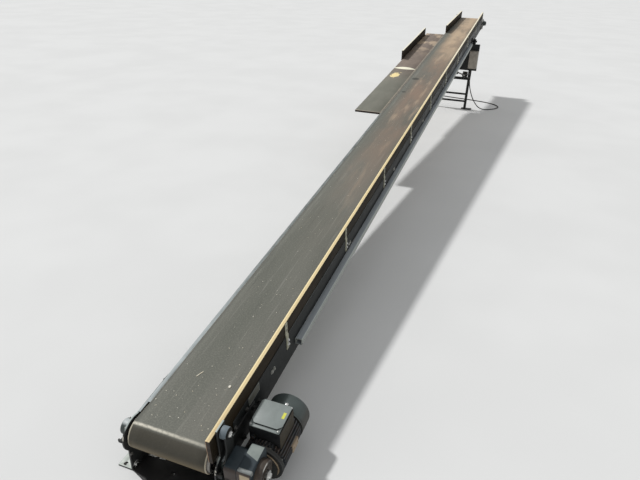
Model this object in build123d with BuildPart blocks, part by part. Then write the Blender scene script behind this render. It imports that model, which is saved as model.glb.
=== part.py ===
"""Mobile belt conveyor: an inclined slider bed on tail feet and a folding, telescopic stand.

World frame: the origin is on the floor under the middle of the drive drum, X runs along the
conveyor towards its head, Y to its left and Z up. The deck plane is tilted by the incline:
its x runs up the belt from the drive drum, its z is the height above the belt's face.
"""
import math
import os

from build123d import *

# Driving dimensions, in millimetres and degrees
incline = 6.2
axle_height = 157
drum_spacing = 7250
drum_diameter = 105
drum_face = 304
drum_rim = 12
drum_recess = 22
shaft_diameter = 25
shaft_end = 4
drive_shaft_end = 8
turning_gap = 0.5
lane_width = 300
belt_width = 292
belt_track = 5
belt_thickness = 4

# Side members and slider bed
web_thickness = 3
web_start = 78
web_end_gap = 78
web_depth = 110
right_web_rise = 34
left_edge_drop = 1
left_web_gap = 15
edge_strip_gap = 2
bottom_flange = 12
bed_thickness = 2
member_size = 30
member_wall = 2.5
member_count = 8
member_margin = 300

# Plywood boards
board_thickness = 15
board_gap = 9
board_rise = 100
board_tail_overhang = 56
board_head_gap = 85
strap_width = 20
strap_start = 515
strap_end_gap = 35
strap_count = 10
strap_drop = 33
strap_top_gap = 3
strap_joggle = 4

# Side rails
rail_size = 30
rail_wall = 2.5
rail_depth = 59
rail_start = 590
rail_end_gap = 174

# Side table on the left, with its board
wing_head_gap = 1120
wing_length = 2960
wing_width = 212
wing_thickness = 15
wing_board_gap = 100
wing_board_length = 1190
wing_board_rise = 84
arm_count = 4
arm_thickness = 6
arm_margin = 150
arm_root = 26
arm_tip = 10
arm_tip_gap = 20

# Left board at the head, toed in over the belt
head_board_gap = 95
head_board_length = 1030
head_board_rise = 84
head_board_lift = 3
head_board_toe = 1.95
holder_width = 25
holder_thickness = 4
holder_drop = 40
holder_rise = 60
holder_places = (90, 910)

# End plates, feet and bearings
end_plate = 6
end_radius = 66
end_round_depth = 68
end_arm = 215
end_arm_drop = 105
end_arm_top = 8
head_arm_top = 42
plate_bore = 32
foot_start = -44
foot_length = 110
foot_width = 62
foot_thickness = 6
foot_hole = 13
foot_hole_spacing = (60, 413)
base_nose = 38
base_nose_chamfer = 103
base_hole_place = (-7, 29)
bearing_boss = 56
bearing_foot = (60, 64)
bearing_foot_thickness = 9
bearing_foot_round = 14
bearing_gap = 0.05
bearing_depth = 38
drive_bearing_depth = 17
running_gap = 0.3
screw_diameter = 8
screw_length = 32
lug_size = (6, 15, 24)

# Gearmotor, hung on the drive shaft at the right
gearbox_gap = 9
gearbox_width = 118
gearbox_back = 60
gearbox_front = 58
gearbox_rise = 2
gearbox_bottom = 158
gearbox_round = 16
hub_radius = 46
hub_depth = 24
motor_shift = 9
motor_offset = 53
neck_radius = 60
neck_length = 4
flange_radius = 76
flange_thickness = 8
motor_radius = 66
motor_length = 156
fin_height = 10
fin_thickness = 2.6
fin_root = 2
fin_count = 38
side_pad_start = 68
side_pad_size = (45, 36)
side_pad_reach = 78
cowl_radius = 77
cowl_length = 78
cowl_round = 14
terminal_size = (112, 113)
terminal_start = 97
terminal_base = 60
terminal_height = 77
lid_thickness = 11
lid_round = 5
arm_plate = 6
arm_overlap = 16
arm_flare = 14
arm_neck = 26
arm_eye_radius = 21
arm_eye_gap = 4
bush_diameter = 32
bush_length = 30
bush_rise = 88
bush_ear = 24
bolt_head = 17
bolt_head_height = 7
nameplate_size = (84, 41)
nameplate_start = 183
nameplate_thickness = 1.5

# Return rollers under the belt
roller_diameter = 40
roller_face = 296
roller_shaft = 12
roller_places = (1500, 3600, 5500)
roller_plate = 4
roller_plate_width = 34
roller_plate_inset = 7

# Stand: outer legs hinged on the side members, inner legs that slide in them
stand_head_gap = 1140
pivot_depth = 60
pivot_plate = (66, 84)
pivot_back = 21
pin_diameter = 16
pin_gap = 0.4
pin_head = 26
pin_head_thickness = 6
leg_gap = 5
outer_leg = 36
outer_leg_wall = 2.5
outer_leg_top = 26
outer_leg_bottom = 360
crossbar_size = 30
crossbar_height = 375
inner_leg = 30
inner_leg_wall = 2
inner_leg_top = 600
foot_plate = (80, 125)
foot_plate_thickness = 8
foot_plate_inset = 41
tie_size = 20
tie_heights = (95, 185)

# Hand winch on the stand's crossbar
winch_y = -152
winch_z = 425
winch_plate = (60, 70, 4)
winch_radius = 33
winch_length = 58
winch_hub = 9
winch_hub_length = 12
crank_reach = 94
crank_angle = 18
crank_section = (16, 5)
grip_diameter = 22
grip_length = 80

# Control box on its hanging plate
box_size = (90, 100, 200)
box_base = 515
box_round = 6
box_back = 30
hanger_thickness = 4
hanger_base = 480
hanger_top = 725
hanger_reach = 117
hanger_ear_top = 790
hanger_ear_length = 84
hanger_ear_root = 20
hanger_ear_tip = 12
box_gap = 5
gland_diameter = 24
gland_length = 25
gland_places = ((0, 13), (0, -17))
door_thickness = 3
door_margin = 6

# Mains lead: where it runs, its coil and its plug
cable_diameter = 11
cable_rest = cable_diameter / 2 + running_gap
cable_drop = 120
cable_touch = 3
bend_share = 0.45
coil_place = (755, 455)
coil_outer = 152
coil_inner = 98
coil_height = 23
plug_diameter = 50
plug_length = 108
plug_neck_diameter = 18
plug_neck_length = 26
plug_gap = 6

# Values that follow from the sizes above
slope = math.radians(incline)
axle_depth = drum_diameter / 2 + turning_gap + belt_thickness
bed_top = -belt_thickness
deck = Plane(
    origin=(-axle_depth * math.sin(slope), 0, axle_height + axle_depth * math.cos(slope)),
    x_dir=(math.cos(slope), 0, math.sin(slope)),
    z_dir=(-math.sin(slope), 0, math.cos(slope)),
)
lane_edge = lane_width / 2
belt_left = belt_width / 2 + belt_track
board_inner = -(lane_edge + board_gap)
board_outer = board_inner - board_thickness
right_web = board_outer - web_thickness
left_web = lane_edge + left_web_gap + web_thickness
left_web_inner = left_web - web_thickness
web_length = drum_spacing - web_start - web_end_gap
plate_right = right_web - end_plate
plate_left = left_web + end_plate
inner_width = left_web_inner - board_outer
sides = (("left", 1, left_web), ("right", -1, right_web))

made = []


def across(x):
    """The plane square to the belt's run at x: its own x is Y, its own y is the deck's height."""
    return Plane(origin=deck.from_local_coords((x, 0, 0)), x_dir=(0, 1, 0), z_dir=deck.x_dir)


def beside(y):
    """The deck's lengthwise plane at y: (x, height above the belt), extruded towards the right."""
    return Plane(origin=deck.from_local_coords((0, y, 0)), x_dir=deck.x_dir, z_dir=(0, -1, 0))


def upright(y):
    """The world's lengthwise plane at y: (X, Z), extruded towards the right."""
    return Plane(origin=(0, y, 0), x_dir=(1, 0, 0), z_dir=(0, -1, 0))


def world(x, height):
    """X and Z in the world of a point at x along the deck and at a height above the belt."""
    point = deck.from_local_coords((x, 0, height))
    return (point.X, point.Z)


def deck_x(world_x, height):
    """How far up the deck a point is that stands over world_x at a height above the belt."""
    return (world_x + (height + axle_depth) * math.sin(slope)) / math.cos(slope)


def outward(side, near, depth):
    """The y where an extrusion towards the right starts, for a slab outside a side member."""
    return near + depth if side > 0 else near


def keep(part, name):
    """Label a finished piece and write it."""
    part.label = name
    export_step(part, f"parts/{name}.step")
    made.append(part)


os.makedirs("parts", exist_ok=True)

# Belt, one closed loop round both drums
with BuildPart() as belt:
    with BuildSketch(beside(belt_left)):
        with Locations((drum_spacing / 2, -axle_depth)):
            SlotCenterToCenter(drum_spacing, 2 * axle_depth)
            SlotCenterToCenter(drum_spacing, 2 * (axle_depth - belt_thickness), mode=Mode.SUBTRACT)
    extrude(amount=belt_width)
keep(belt.part, "belt")

# Drums with their shafts: the drive shaft reaches through the gearbox
drive_shaft_right = plate_right - drive_bearing_depth - gearbox_gap - gearbox_width - drive_shaft_end
drive_shaft_left = plate_left + bearing_depth + shaft_end
head_shaft_right = plate_right - bearing_depth - shaft_end
drum_table = (
    # name, x, shaft's left end, shaft's right end
    ("drive_drum", 0, drive_shaft_left, drive_shaft_right),
    ("head_drum", drum_spacing, drive_shaft_left, head_shaft_right),
)
for name, x, shaft_left, shaft_right in drum_table:
    with BuildPart() as drum:
        with BuildSketch(beside(drum_face / 2)):
            with Locations((x, -axle_depth)):
                Circle(drum_diameter / 2)
        extrude(amount=drum_face)
        for end in (drum_face / 2, drum_recess - drum_face / 2):
            with BuildSketch(beside(end)):
                with Locations((x, -axle_depth)):
                    Circle(drum_diameter / 2 - drum_rim)
            extrude(amount=drum_recess, mode=Mode.SUBTRACT)
        with BuildSketch(beside(shaft_left)):
            with Locations((x, -axle_depth)):
                Circle(shaft_diameter / 2)
        extrude(amount=shaft_left - shaft_right)
    keep(drum.part, name)

# Side members: a channel that rises past the board at the right, a flanged one at the left
with BuildPart() as side_member_right:
    with BuildSketch(across(web_start)):
        with Locations((right_web, -web_depth)):
            Rectangle(web_thickness, web_depth + right_web_rise, align=(Align.MIN, Align.MIN))
            Rectangle(web_thickness + bottom_flange, web_thickness, align=(Align.MIN, Align.MIN))
    extrude(amount=web_length)
keep(side_member_right.part, "side_member_right")

with BuildPart() as side_member_left:
    with BuildSketch(across(web_start)):
        with Locations((left_web, -web_depth)):
            Rectangle(web_thickness, web_depth - left_edge_drop, align=(Align.MAX, Align.MIN))
            Rectangle(web_thickness + bottom_flange, web_thickness, align=(Align.MAX, Align.MIN))
        with Locations((left_web, bed_top)):
            Rectangle(
                left_web_gap + web_thickness - edge_strip_gap,
                belt_thickness - left_edge_drop,
                align=(Align.MAX, Align.MIN),
            )
    extrude(amount=web_length)
keep(side_member_left.part, "side_member_left")

with BuildPart() as slider_bed:
    with BuildSketch(across(web_start)):
        with Locations((board_outer, bed_top)):
            Rectangle(inner_width, bed_thickness, align=(Align.MIN, Align.MAX))
    extrude(amount=web_length)
keep(slider_bed.part, "slider_bed")

member_pitch = (web_length - 2 * member_margin) / (member_count - 1)
with BuildPart() as cross_members:
    for index in range(member_count):
        place = web_start + member_margin + index * member_pitch
        with BuildSketch(beside(left_web_inner)):
            with Locations((place, bed_top - bed_thickness - member_size / 2)):
                Rectangle(member_size, member_size)
                hollow = member_size - 2 * member_wall
                Rectangle(hollow, hollow, mode=Mode.SUBTRACT)
        extrude(amount=inner_width)
keep(cross_members.part, "cross_members")

# Square rails along both sides, up to the stand's pivots
stand_x = drum_spacing - stand_head_gap
pivot_plate_start = deck_x(stand_x, -pivot_depth) - pivot_back
rail_hollow = rail_size - 2 * rail_wall
rail_length = pivot_plate_start - rail_end_gap - rail_start
with BuildPart() as side_rails:
    for name, side, web in sides:
        with BuildSketch(across(rail_start)):
            with Locations((web + side * rail_size / 2, -rail_depth)):
                Rectangle(rail_size, rail_size)
                Rectangle(rail_hollow, rail_hollow, mode=Mode.SUBTRACT)
        extrude(amount=rail_length)
keep(side_rails.part, "side_rails")

# Right board with the joggled straps that hold it to the side member
with BuildPart() as side_board:
    with BuildSketch(across(-board_tail_overhang)):
        with Locations((board_inner, bed_top)):
            Rectangle(board_thickness, board_rise + belt_thickness, align=(Align.MAX, Align.MIN))
    extrude(amount=drum_spacing - board_head_gap + board_tail_overhang)
keep(side_board.part, "side_board_right")

strap_run = drum_spacing - board_head_gap - strap_start - strap_end_gap
strap_pitch = strap_run / (strap_count - 1)
strap_outer = right_web - web_thickness
strap_top = board_rise - strap_top_gap
with BuildPart() as board_straps:
    for index in range(strap_count):
        with BuildSketch(across(strap_start + index * strap_pitch - strap_width / 2)):
            with BuildLine():
                Polyline(
                    (right_web, -strap_drop),
                    (strap_outer, -strap_drop),
                    (strap_outer, right_web_rise + web_thickness),
                    (right_web, right_web_rise + web_thickness + strap_joggle),
                    (right_web, strap_top),
                    (board_outer, strap_top),
                    (board_outer, right_web_rise),
                    (right_web, right_web_rise),
                    close=True,
                )
            make_face()
        extrude(amount=strap_width)
keep(board_straps.part, "board_straps")

# Side table on the left
wing_end = drum_spacing - wing_head_gap
wing_start = wing_end - wing_length
wing_board_start = wing_end - wing_board_gap - wing_board_length
wing_top = -left_edge_drop
wing_outer = left_web + wing_width
with BuildPart() as wing_table:
    with BuildSketch(across(wing_start)):
        with Locations((left_web, wing_top)):
            Rectangle(wing_width, wing_thickness, align=(Align.MIN, Align.MAX))
    extrude(amount=wing_length)
keep(wing_table.part, "wing_table")

with BuildPart() as wing_board:
    with BuildSketch(across(wing_board_start)):
        with Locations((wing_outer, wing_top - wing_thickness)):
            Rectangle(board_thickness, wing_thickness + wing_board_rise, align=(Align.MIN, Align.MIN))
    extrude(amount=wing_board_length)
keep(wing_board.part, "wing_board")

arm_pitch = (wing_length - 2 * arm_margin) / (arm_count - 1)
arm_top = wing_top - wing_thickness
with BuildPart() as wing_arms:
    for index in range(arm_count):
        with BuildSketch(across(wing_start + arm_margin + index * arm_pitch)):
            with BuildLine():
                Polyline(
                    (left_web, arm_top),
                    (wing_outer - arm_tip_gap, arm_top),
                    (wing_outer - arm_tip_gap, arm_top - arm_tip),
                    (left_web, arm_top - arm_root),
                    close=True,
                )
            make_face()
        extrude(amount=arm_thickness, both=True)
keep(wing_arms.part, "wing_arms")

# Left board at the head and its holders
toe = math.radians(head_board_toe)
head_board_start = wing_end + head_board_gap
with BuildPart() as head_board:
    with BuildSketch(deck.offset(head_board_lift)):
        with Locations((head_board_start, left_web)):
            Rectangle(
                head_board_length,
                board_thickness,
                rotation=-head_board_toe,
                align=(Align.MIN, Align.MAX),
            )
    extrude(amount=head_board_rise)
keep(head_board.part, "head_board_left")

with BuildPart() as board_holders:
    for place in holder_places:
        board_face = left_web - (place - holder_width) * math.tan(toe) + running_gap
        with BuildSketch(across(head_board_start + place)):
            with BuildLine():
                Polyline(
                    (left_web, -holder_drop),
                    (left_web + holder_thickness, -holder_drop),
                    (left_web + holder_thickness, holder_rise),
                    (board_face, holder_rise),
                    (board_face, head_board_lift),
                    (left_web, head_board_lift),
                    close=True,
                )
            make_face()
        extrude(amount=-holder_width)
keep(board_holders.part, "board_holders")

# Tail plates with their feet, and head plates
foot_middle = foot_start + foot_length / 2
end_round_z = world(0, -end_round_depth)[1]
for name, side, web in sides:
    with BuildPart() as tail_plate:
        with BuildSketch(upright(outward(side, web, end_plate))):
            with Locations(world(0, -end_round_depth)):
                Circle(end_radius)
            with BuildLine():
                Polyline(
                    world(0, -end_arm_drop),
                    world(end_arm, -end_arm_drop),
                    world(end_arm, -end_arm_top),
                    world(0, -end_arm_top),
                    close=True,
                )
            make_face()
            with BuildLine():
                Polyline(
                    (foot_start, foot_thickness),
                    (foot_start + foot_length, foot_thickness),
                    (foot_start + foot_length, end_round_z),
                    (foot_start, end_round_z),
                    close=True,
                )
            make_face()
            if side < 0:
                with BuildLine():
                    Polyline(
                        world(-bush_ear, -end_round_depth),
                        world(bush_ear, -end_round_depth),
                        world(bush_ear, bush_rise + bush_ear),
                        world(-bush_ear, bush_rise + bush_ear),
                        close=True,
                    )
                make_face()
            with Locations(world(0, -axle_depth)):
                Circle(plate_bore / 2, mode=Mode.SUBTRACT)
        extrude(amount=end_plate)
        with BuildSketch(Plane.XY):
            with Locations((foot_middle, web + side * foot_width / 2)):
                Rectangle(foot_length, foot_width)
            with GridLocations(foot_hole_spacing[0], foot_hole_spacing[1], 2, 2):
                Circle(foot_hole / 2, mode=Mode.SUBTRACT)
        extrude(amount=foot_thickness)
    keep(tail_plate.part, f"tail_plate_{name}")

with BuildPart() as head_plates:
    for name, side, web in sides:
        with BuildSketch(beside(outward(side, web, end_plate))):
            with Locations((drum_spacing, -end_round_depth)):
                Circle(end_radius)
            with BuildLine():
                Polyline(
                    (drum_spacing - end_arm, -end_arm_drop),
                    (drum_spacing, -end_arm_drop),
                    (drum_spacing, -head_arm_top),
                    (drum_spacing - end_arm, -head_arm_top),
                    close=True,
                )
            make_face()
            with Locations((drum_spacing, -axle_depth)):
                Circle(plate_bore / 2, mode=Mode.SUBTRACT)
        extrude(amount=end_plate)
keep(head_plates.part, "head_plates")

# Base plate between the tail feet
with BuildPart() as base_plate:
    with BuildSketch(Plane.XY):
        with BuildLine():
            Polyline(
                (foot_start, left_web),
                (foot_start - base_nose, left_web - base_nose_chamfer),
                (foot_start - base_nose, right_web + base_nose_chamfer),
                (foot_start, right_web),
                (foot_start + foot_length, right_web),
                (foot_start + foot_length, left_web),
                close=True,
            )
        make_face()
        with Locations(base_hole_place):
            Circle(foot_hole / 2, mode=Mode.SUBTRACT)
    extrude(amount=foot_thickness)
keep(base_plate.part, "base_plate")

# Flange bearings outside the end plates, with their take-up screws
bearing_table = (
    # node, x, way to the nearer end, depth of the right bearing
    ("tail_bearings", 0, -1, drive_bearing_depth),
    ("head_bearings", drum_spacing, 1, bearing_depth),
)
with BuildPart() as take_up_screws:
    for x, way, side, plate in (
        (0, -1, 1, plate_left),
        (0, -1, -1, plate_right),
        (drum_spacing, 1, 1, plate_left),
        (drum_spacing, 1, -1, plate_right),
    ):
        screw_y = plate + side * lug_size[1] / 2
        screw_near = x + way * bearing_foot[0] / 2
        with BuildSketch(across(screw_near)):
            with Locations((screw_y, -axle_depth)):
                Circle(screw_diameter / 2)
        extrude(amount=way * screw_length)
        with BuildSketch(across(screw_near + way * (end_radius - bearing_foot[0] / 2 - lug_size[0]))):
            with Locations((screw_y, -axle_depth)):
                Rectangle(lug_size[1], lug_size[2])
        extrude(amount=way * lug_size[0])
keep(take_up_screws.part, "take_up_screws")

for name, x, way, right_depth in bearing_table:
    with BuildPart() as bearings:
        for side, plate, depth in ((1, plate_left, bearing_depth), (-1, plate_right, right_depth)):
            with BuildSketch(beside(outward(side, plate, bearing_foot_thickness))):
                with Locations((x, -axle_depth)):
                    RectangleRounded(bearing_foot[0], bearing_foot[1], bearing_foot_round)
            extrude(amount=bearing_foot_thickness)
            with BuildSketch(beside(outward(side, plate, depth))):
                with Locations((x, -axle_depth)):
                    Circle(bearing_boss / 2)
            extrude(amount=depth)
            with BuildSketch(beside(outward(side, plate, depth))):
                with Locations((x, -axle_depth)):
                    Circle(shaft_diameter / 2 + bearing_gap)
            extrude(amount=depth, mode=Mode.SUBTRACT)
    keep(bearings.part, name)

# Gearbox on the drive shaft
gearbox_face = plate_right - drive_bearing_depth - gearbox_gap
motor_y = gearbox_face - gearbox_width / 2 - motor_shift
motor_height = -axle_depth - motor_offset
with BuildPart() as gearbox:
    with BuildSketch(beside(gearbox_face)):
        with BuildLine():
            Polyline(
                (-gearbox_back, gearbox_rise),
                (gearbox_front, gearbox_rise),
                (gearbox_front, -gearbox_bottom),
                (-gearbox_back, -gearbox_bottom),
                close=True,
            )
        make_face()
    extrude(amount=gearbox_width - hub_depth)
    fillet(gearbox.edges().filter_by(Axis.Y), radius=gearbox_round)
    with BuildSketch(beside(gearbox_face)):
        with Locations((0, -axle_depth)):
            Circle(hub_radius)
    extrude(amount=gearbox_width)
    with BuildSketch(across(gearbox_front)):
        with Locations((motor_y, motor_height)):
            Circle(neck_radius)
    extrude(amount=neck_length)
    with BuildSketch(across(gearbox_front + neck_length)):
        with Locations((motor_y, motor_height)):
            Circle(flange_radius)
    extrude(amount=flange_thickness)
    with BuildSketch(beside(gearbox_face)):
        with Locations((0, -axle_depth)):
            Circle(shaft_diameter / 2 + running_gap)
    extrude(amount=gearbox_width, mode=Mode.SUBTRACT)
keep(gearbox.part, "gearbox")

# Motor with its cooling fins, fan cowl and terminal box
motor_start = gearbox_front + neck_length + flange_thickness
body_start = motor_start + flange_thickness
with BuildPart() as motor:
    with BuildSketch(across(motor_start)):
        with Locations((motor_y, motor_height)):
            Circle(flange_radius)
    extrude(amount=flange_thickness)
    with BuildSketch(across(body_start)):
        with Locations((motor_y, motor_height)):
            Circle(motor_radius)
            with PolarLocations(motor_radius + (fin_height - fin_root) / 2, fin_count):
                Rectangle(fin_height + fin_root, fin_thickness)
    extrude(amount=motor_length)
    with BuildSketch(beside(motor_y + side_pad_reach)):
        with Locations((body_start + side_pad_start, motor_height)):
            Rectangle(side_pad_size[0], side_pad_size[1], align=(Align.MIN, Align.CENTER))
    extrude(amount=2 * side_pad_reach)
keep(motor.part, "motor")

cowl_start = body_start + motor_length
with BuildPart() as fan_cowl:
    with BuildSketch(across(cowl_start)):
        with Locations((motor_y, motor_height)):
            Circle(cowl_radius)
    extrude(amount=cowl_length)
    fillet(fan_cowl.faces().sort_by(Axis.X)[-1].edges(), radius=cowl_round)
keep(fan_cowl.part, "fan_cowl")

terminal_middle = terminal_start + terminal_size[0] / 2
with BuildPart() as terminal_box:
    with BuildSketch(deck.offset(-terminal_base)):
        with Locations((terminal_middle, motor_y)):
            Rectangle(*terminal_size)
    extrude(amount=terminal_height)
    with BuildSketch(across(body_start)):
        with Locations((motor_y, motor_height)):
            Circle(motor_radius + fin_height + running_gap)
    extrude(amount=motor_length, mode=Mode.SUBTRACT)
keep(terminal_box.part, "terminal_box")

with BuildPart() as terminal_lid:
    with BuildSketch(deck.offset(terminal_height - terminal_base)):
        with Locations((terminal_middle, motor_y)):
            RectangleRounded(terminal_size[0], terminal_size[1], lid_round)
    extrude(amount=lid_thickness)
keep(terminal_lid.part, "terminal_lid")

# Torque arm up to its eye, round the rubber bush on the tail plate's ear
with BuildPart() as torque_arm:
    with BuildSketch(beside(gearbox_face + arm_plate)):
        with BuildLine():
            Polyline(
                (-arm_eye_radius, bush_rise),
                (arm_eye_radius, bush_rise),
                (arm_eye_radius, gearbox_rise - arm_overlap),
                (-arm_eye_radius - arm_flare, gearbox_rise - arm_overlap),
                (-arm_eye_radius - arm_flare, gearbox_rise),
                (-arm_eye_radius, gearbox_rise + arm_neck),
                close=True,
            )
        make_face()
    extrude(amount=arm_plate)
    with BuildSketch(beside(plate_right - arm_eye_gap)):
        with Locations((0, bush_rise)):
            Circle(arm_eye_radius)
    extrude(amount=plate_right - arm_eye_gap - gearbox_face)
    with BuildSketch(beside(plate_right)):
        with Locations((0, bush_rise)):
            Circle(bush_diameter / 2 + running_gap)
    extrude(amount=bush_length, mode=Mode.SUBTRACT)
keep(torque_arm.part, "torque_arm")

with BuildPart() as torque_bush:
    with BuildSketch(beside(plate_right)):
        with Locations((0, bush_rise)):
            Circle(bush_diameter / 2)
    extrude(amount=bush_length)
    with BuildSketch(beside(plate_right - bush_length)):
        with Locations((0, bush_rise)):
            RegularPolygon(bolt_head / 2, 6)
    extrude(amount=bolt_head_height)
keep(torque_bush.part, "torque_bush")

with BuildPart() as nameplate:
    with BuildSketch(beside(right_web)):
        with Locations((nameplate_start, right_web_rise)):
            Rectangle(nameplate_size[0], nameplate_size[1], align=(Align.MIN, Align.MAX))
    extrude(amount=nameplate_thickness)
keep(nameplate.part, "blank_plate")

# Return rollers and the plates that carry them
roller_height = -2 * axle_depth - turning_gap - roller_diameter / 2
roller_left = left_web - roller_plate_inset
roller_right = right_web + roller_plate_inset
for index, place in enumerate(roller_places):
    with BuildPart() as roller:
        with BuildSketch(beside(roller_face / 2)):
            with Locations((place, roller_height)):
                Circle(roller_diameter / 2)
        extrude(amount=roller_face)
        with BuildSketch(beside(roller_left)):
            with Locations((place, roller_height)):
                Circle(roller_shaft / 2)
        extrude(amount=roller_left - roller_right)
    keep(roller.part, f"return_roller_{index + 1}")

with BuildPart() as roller_plates:
    for place in roller_places:
        for start in (roller_left, roller_right + roller_plate):
            with BuildSketch(beside(start)):
                with Locations((place, -web_depth)):
                    Rectangle(
                        roller_plate_width,
                        -web_depth - roller_height + roller_shaft,
                        align=(Align.CENTER, Align.MAX),
                    )
                with Locations((place, roller_height)):
                    Circle(roller_shaft / 2 + running_gap, mode=Mode.SUBTRACT)
            extrude(amount=roller_plate)
keep(roller_plates.part, "roller_plates")

# Stand: pivots on the side members
pivot_x, pivot_z = world(deck_x(stand_x, -pivot_depth), -pivot_depth)
legs = (
    # name, side, pivot plate's outer face, middle of the leg
    ("left", 1, plate_left, plate_left + leg_gap + outer_leg / 2),
    ("right", -1, plate_right, plate_right - leg_gap - outer_leg / 2),
)
pin_length = leg_gap + outer_leg + leg_gap
with BuildPart() as stand_pivots:
    for name, side, plate, leg_y in legs:
        with BuildSketch(beside(outward(side, plate - side * end_plate, end_plate))):
            with Locations((pivot_plate_start, -pivot_depth)):
                Rectangle(*pivot_plate, align=(Align.MIN, Align.CENTER))
        extrude(amount=end_plate)
        with BuildSketch(upright(outward(side, plate, pin_length))):
            with Locations((pivot_x, pivot_z)):
                Circle(pin_diameter / 2)
        extrude(amount=pin_length)
        with BuildSketch(upright(outward(side, plate + side * pin_length, pin_head_thickness))):
            with Locations((pivot_x, pivot_z)):
                Circle(pin_head / 2)
        extrude(amount=pin_head_thickness)
keep(stand_pivots.part, "stand_pivots")

outer_hollow = outer_leg - 2 * outer_leg_wall
with BuildPart() as outer_legs:
    for name, side, plate, leg_y in legs:
        with BuildSketch(Plane.XY.offset(outer_leg_bottom)):
            with Locations((stand_x, leg_y)):
                Rectangle(outer_leg, outer_leg)
                Rectangle(outer_hollow, outer_hollow, mode=Mode.SUBTRACT)
        extrude(amount=pivot_z + outer_leg_top - outer_leg_bottom)
        with BuildSketch(upright(leg_y + outer_leg / 2)):
            with Locations((pivot_x, pivot_z)):
                Circle(pin_diameter / 2 + pin_gap)
        extrude(amount=outer_leg, mode=Mode.SUBTRACT)
keep(outer_legs.part, "outer_legs")

inner_hollow = inner_leg - 2 * inner_leg_wall
with BuildPart() as inner_legs:
    for name, side, plate, leg_y in legs:
        with BuildSketch(Plane.XY.offset(foot_plate_thickness)):
            with Locations((stand_x, leg_y)):
                Rectangle(inner_leg, inner_leg)
                Rectangle(inner_hollow, inner_hollow, mode=Mode.SUBTRACT)
        extrude(amount=inner_leg_top - foot_plate_thickness)
        with BuildSketch(Plane.XY):
            with Locations((stand_x, leg_y + side * (foot_plate[1] / 2 - foot_plate_inset))):
                Rectangle(*foot_plate)
        extrude(amount=foot_plate_thickness)
keep(inner_legs.part, "inner_legs")

left_leg = legs[0][3]
right_leg = legs[1][3]
with BuildPart() as stand_crossbar:
    with BuildSketch(upright(left_leg - outer_leg / 2)):
        with Locations((stand_x, crossbar_height)):
            Rectangle(crossbar_size, crossbar_size)
    extrude(amount=left_leg - right_leg - outer_leg)
keep(stand_crossbar.part, "stand_crossbar")

with BuildPart() as inner_ties:
    for height in tie_heights:
        with BuildSketch(upright(left_leg - inner_leg / 2)):
            with Locations((stand_x, height)):
                Rectangle(tie_size, tie_size)
        extrude(amount=left_leg - right_leg - inner_leg)
keep(inner_ties.part, "inner_ties")

# Hand winch: its plate stands on the crossbar, its crank turns towards the tail
winch_face = stand_x - winch_plate[2]
plate_bottom = crossbar_height + crossbar_size / 2
with BuildPart() as winch:
    with BuildSketch(Plane.YZ.offset(winch_face)):
        with Locations((winch_y, plate_bottom)):
            Rectangle(winch_plate[0], winch_plate[1], align=(Align.CENTER, Align.MIN))
    extrude(amount=winch_plate[2])
    with BuildSketch(Plane.YZ.offset(winch_face)):
        with Locations((winch_y, winch_z)):
            Circle(winch_radius)
    extrude(amount=-winch_length)
    with BuildSketch(Plane.YZ.offset(winch_face - winch_length)):
        with Locations((winch_y, winch_z)):
            Circle(winch_hub)
    extrude(amount=-winch_hub_length)
keep(winch.part, "winch")

crank_face = winch_face - winch_length - winch_hub_length
with BuildPart() as winch_crank:
    with BuildSketch(Plane.YZ.offset(crank_face)):
        with Locations((winch_y, winch_z)):
            Rectangle(
                crank_reach,
                crank_section[0],
                rotation=crank_angle,
                align=(Align.MIN, Align.CENTER),
            )
            Circle(crank_section[0] / 2)
    extrude(amount=-crank_section[1])
    grip_reach = crank_reach - crank_section[0] / 2
    grip_y = winch_y + grip_reach * math.cos(math.radians(crank_angle))
    grip_z = winch_z + grip_reach * math.sin(math.radians(crank_angle))
    with BuildSketch(Plane.YZ.offset(crank_face - crank_section[1])):
        with Locations((grip_y, grip_z)):
            Circle(grip_diameter / 2)
    extrude(amount=-grip_length)
keep(winch_crank.part, "winch_crank")

# Control box on the plate that hangs from the right side member
hanger_back = stand_x - box_back
box_right = right_web - box_gap - box_size[1]
with BuildPart() as box_hanger:
    with BuildSketch(Plane.YZ.offset(hanger_back)):
        with BuildLine():
            Polyline(
                (box_right, hanger_base),
                (right_web + hanger_reach, hanger_base),
                (right_web + hanger_reach, hanger_top),
                (right_web, hanger_top),
                (right_web, hanger_ear_top),
                (box_right, hanger_ear_top),
                close=True,
            )
        make_face()
    extrude(amount=hanger_thickness)
    with BuildSketch(upright(right_web)):
        with BuildLine():
            Polyline(
                (hanger_back, hanger_top),
                (hanger_back, hanger_ear_top + hanger_ear_root),
                (hanger_back - hanger_ear_length, hanger_ear_top + hanger_ear_tip),
                (hanger_back - hanger_ear_length, hanger_ear_top - hanger_ear_tip),
                close=True,
            )
        make_face()
    extrude(amount=hanger_thickness)
keep(box_hanger.part, "box_hanger")

box_middle = (hanger_back - box_size[0] / 2, box_right + box_size[1] / 2)
with BuildPart() as control_box:
    with BuildSketch(Plane.XY.offset(box_base)):
        with Locations(box_middle):
            Rectangle(box_size[0], box_size[1])
    extrude(amount=box_size[2])
    fillet(control_box.edges().filter_by(Axis.X), radius=box_round)
keep(control_box.part, "control_box")

with BuildPart() as box_door:
    with BuildSketch(Plane.YZ.offset(hanger_back - box_size[0])):
        with Locations((box_middle[1], box_base + box_size[2] / 2)):
            RectangleRounded(box_size[1] - door_margin, box_size[2] - door_margin, box_round)
    extrude(amount=-door_thickness)
keep(box_door.part, "box_door")

with BuildPart() as cable_glands:
    for gland_x, gland_y in gland_places:
        with BuildSketch(Plane.XY.offset(box_base)):
            with Locations((box_middle[0] + gland_x, box_middle[1] + gland_y)):
                Circle(gland_diameter / 2)
        extrude(amount=-gland_length)
keep(cable_glands.part, "cable_glands")

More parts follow.
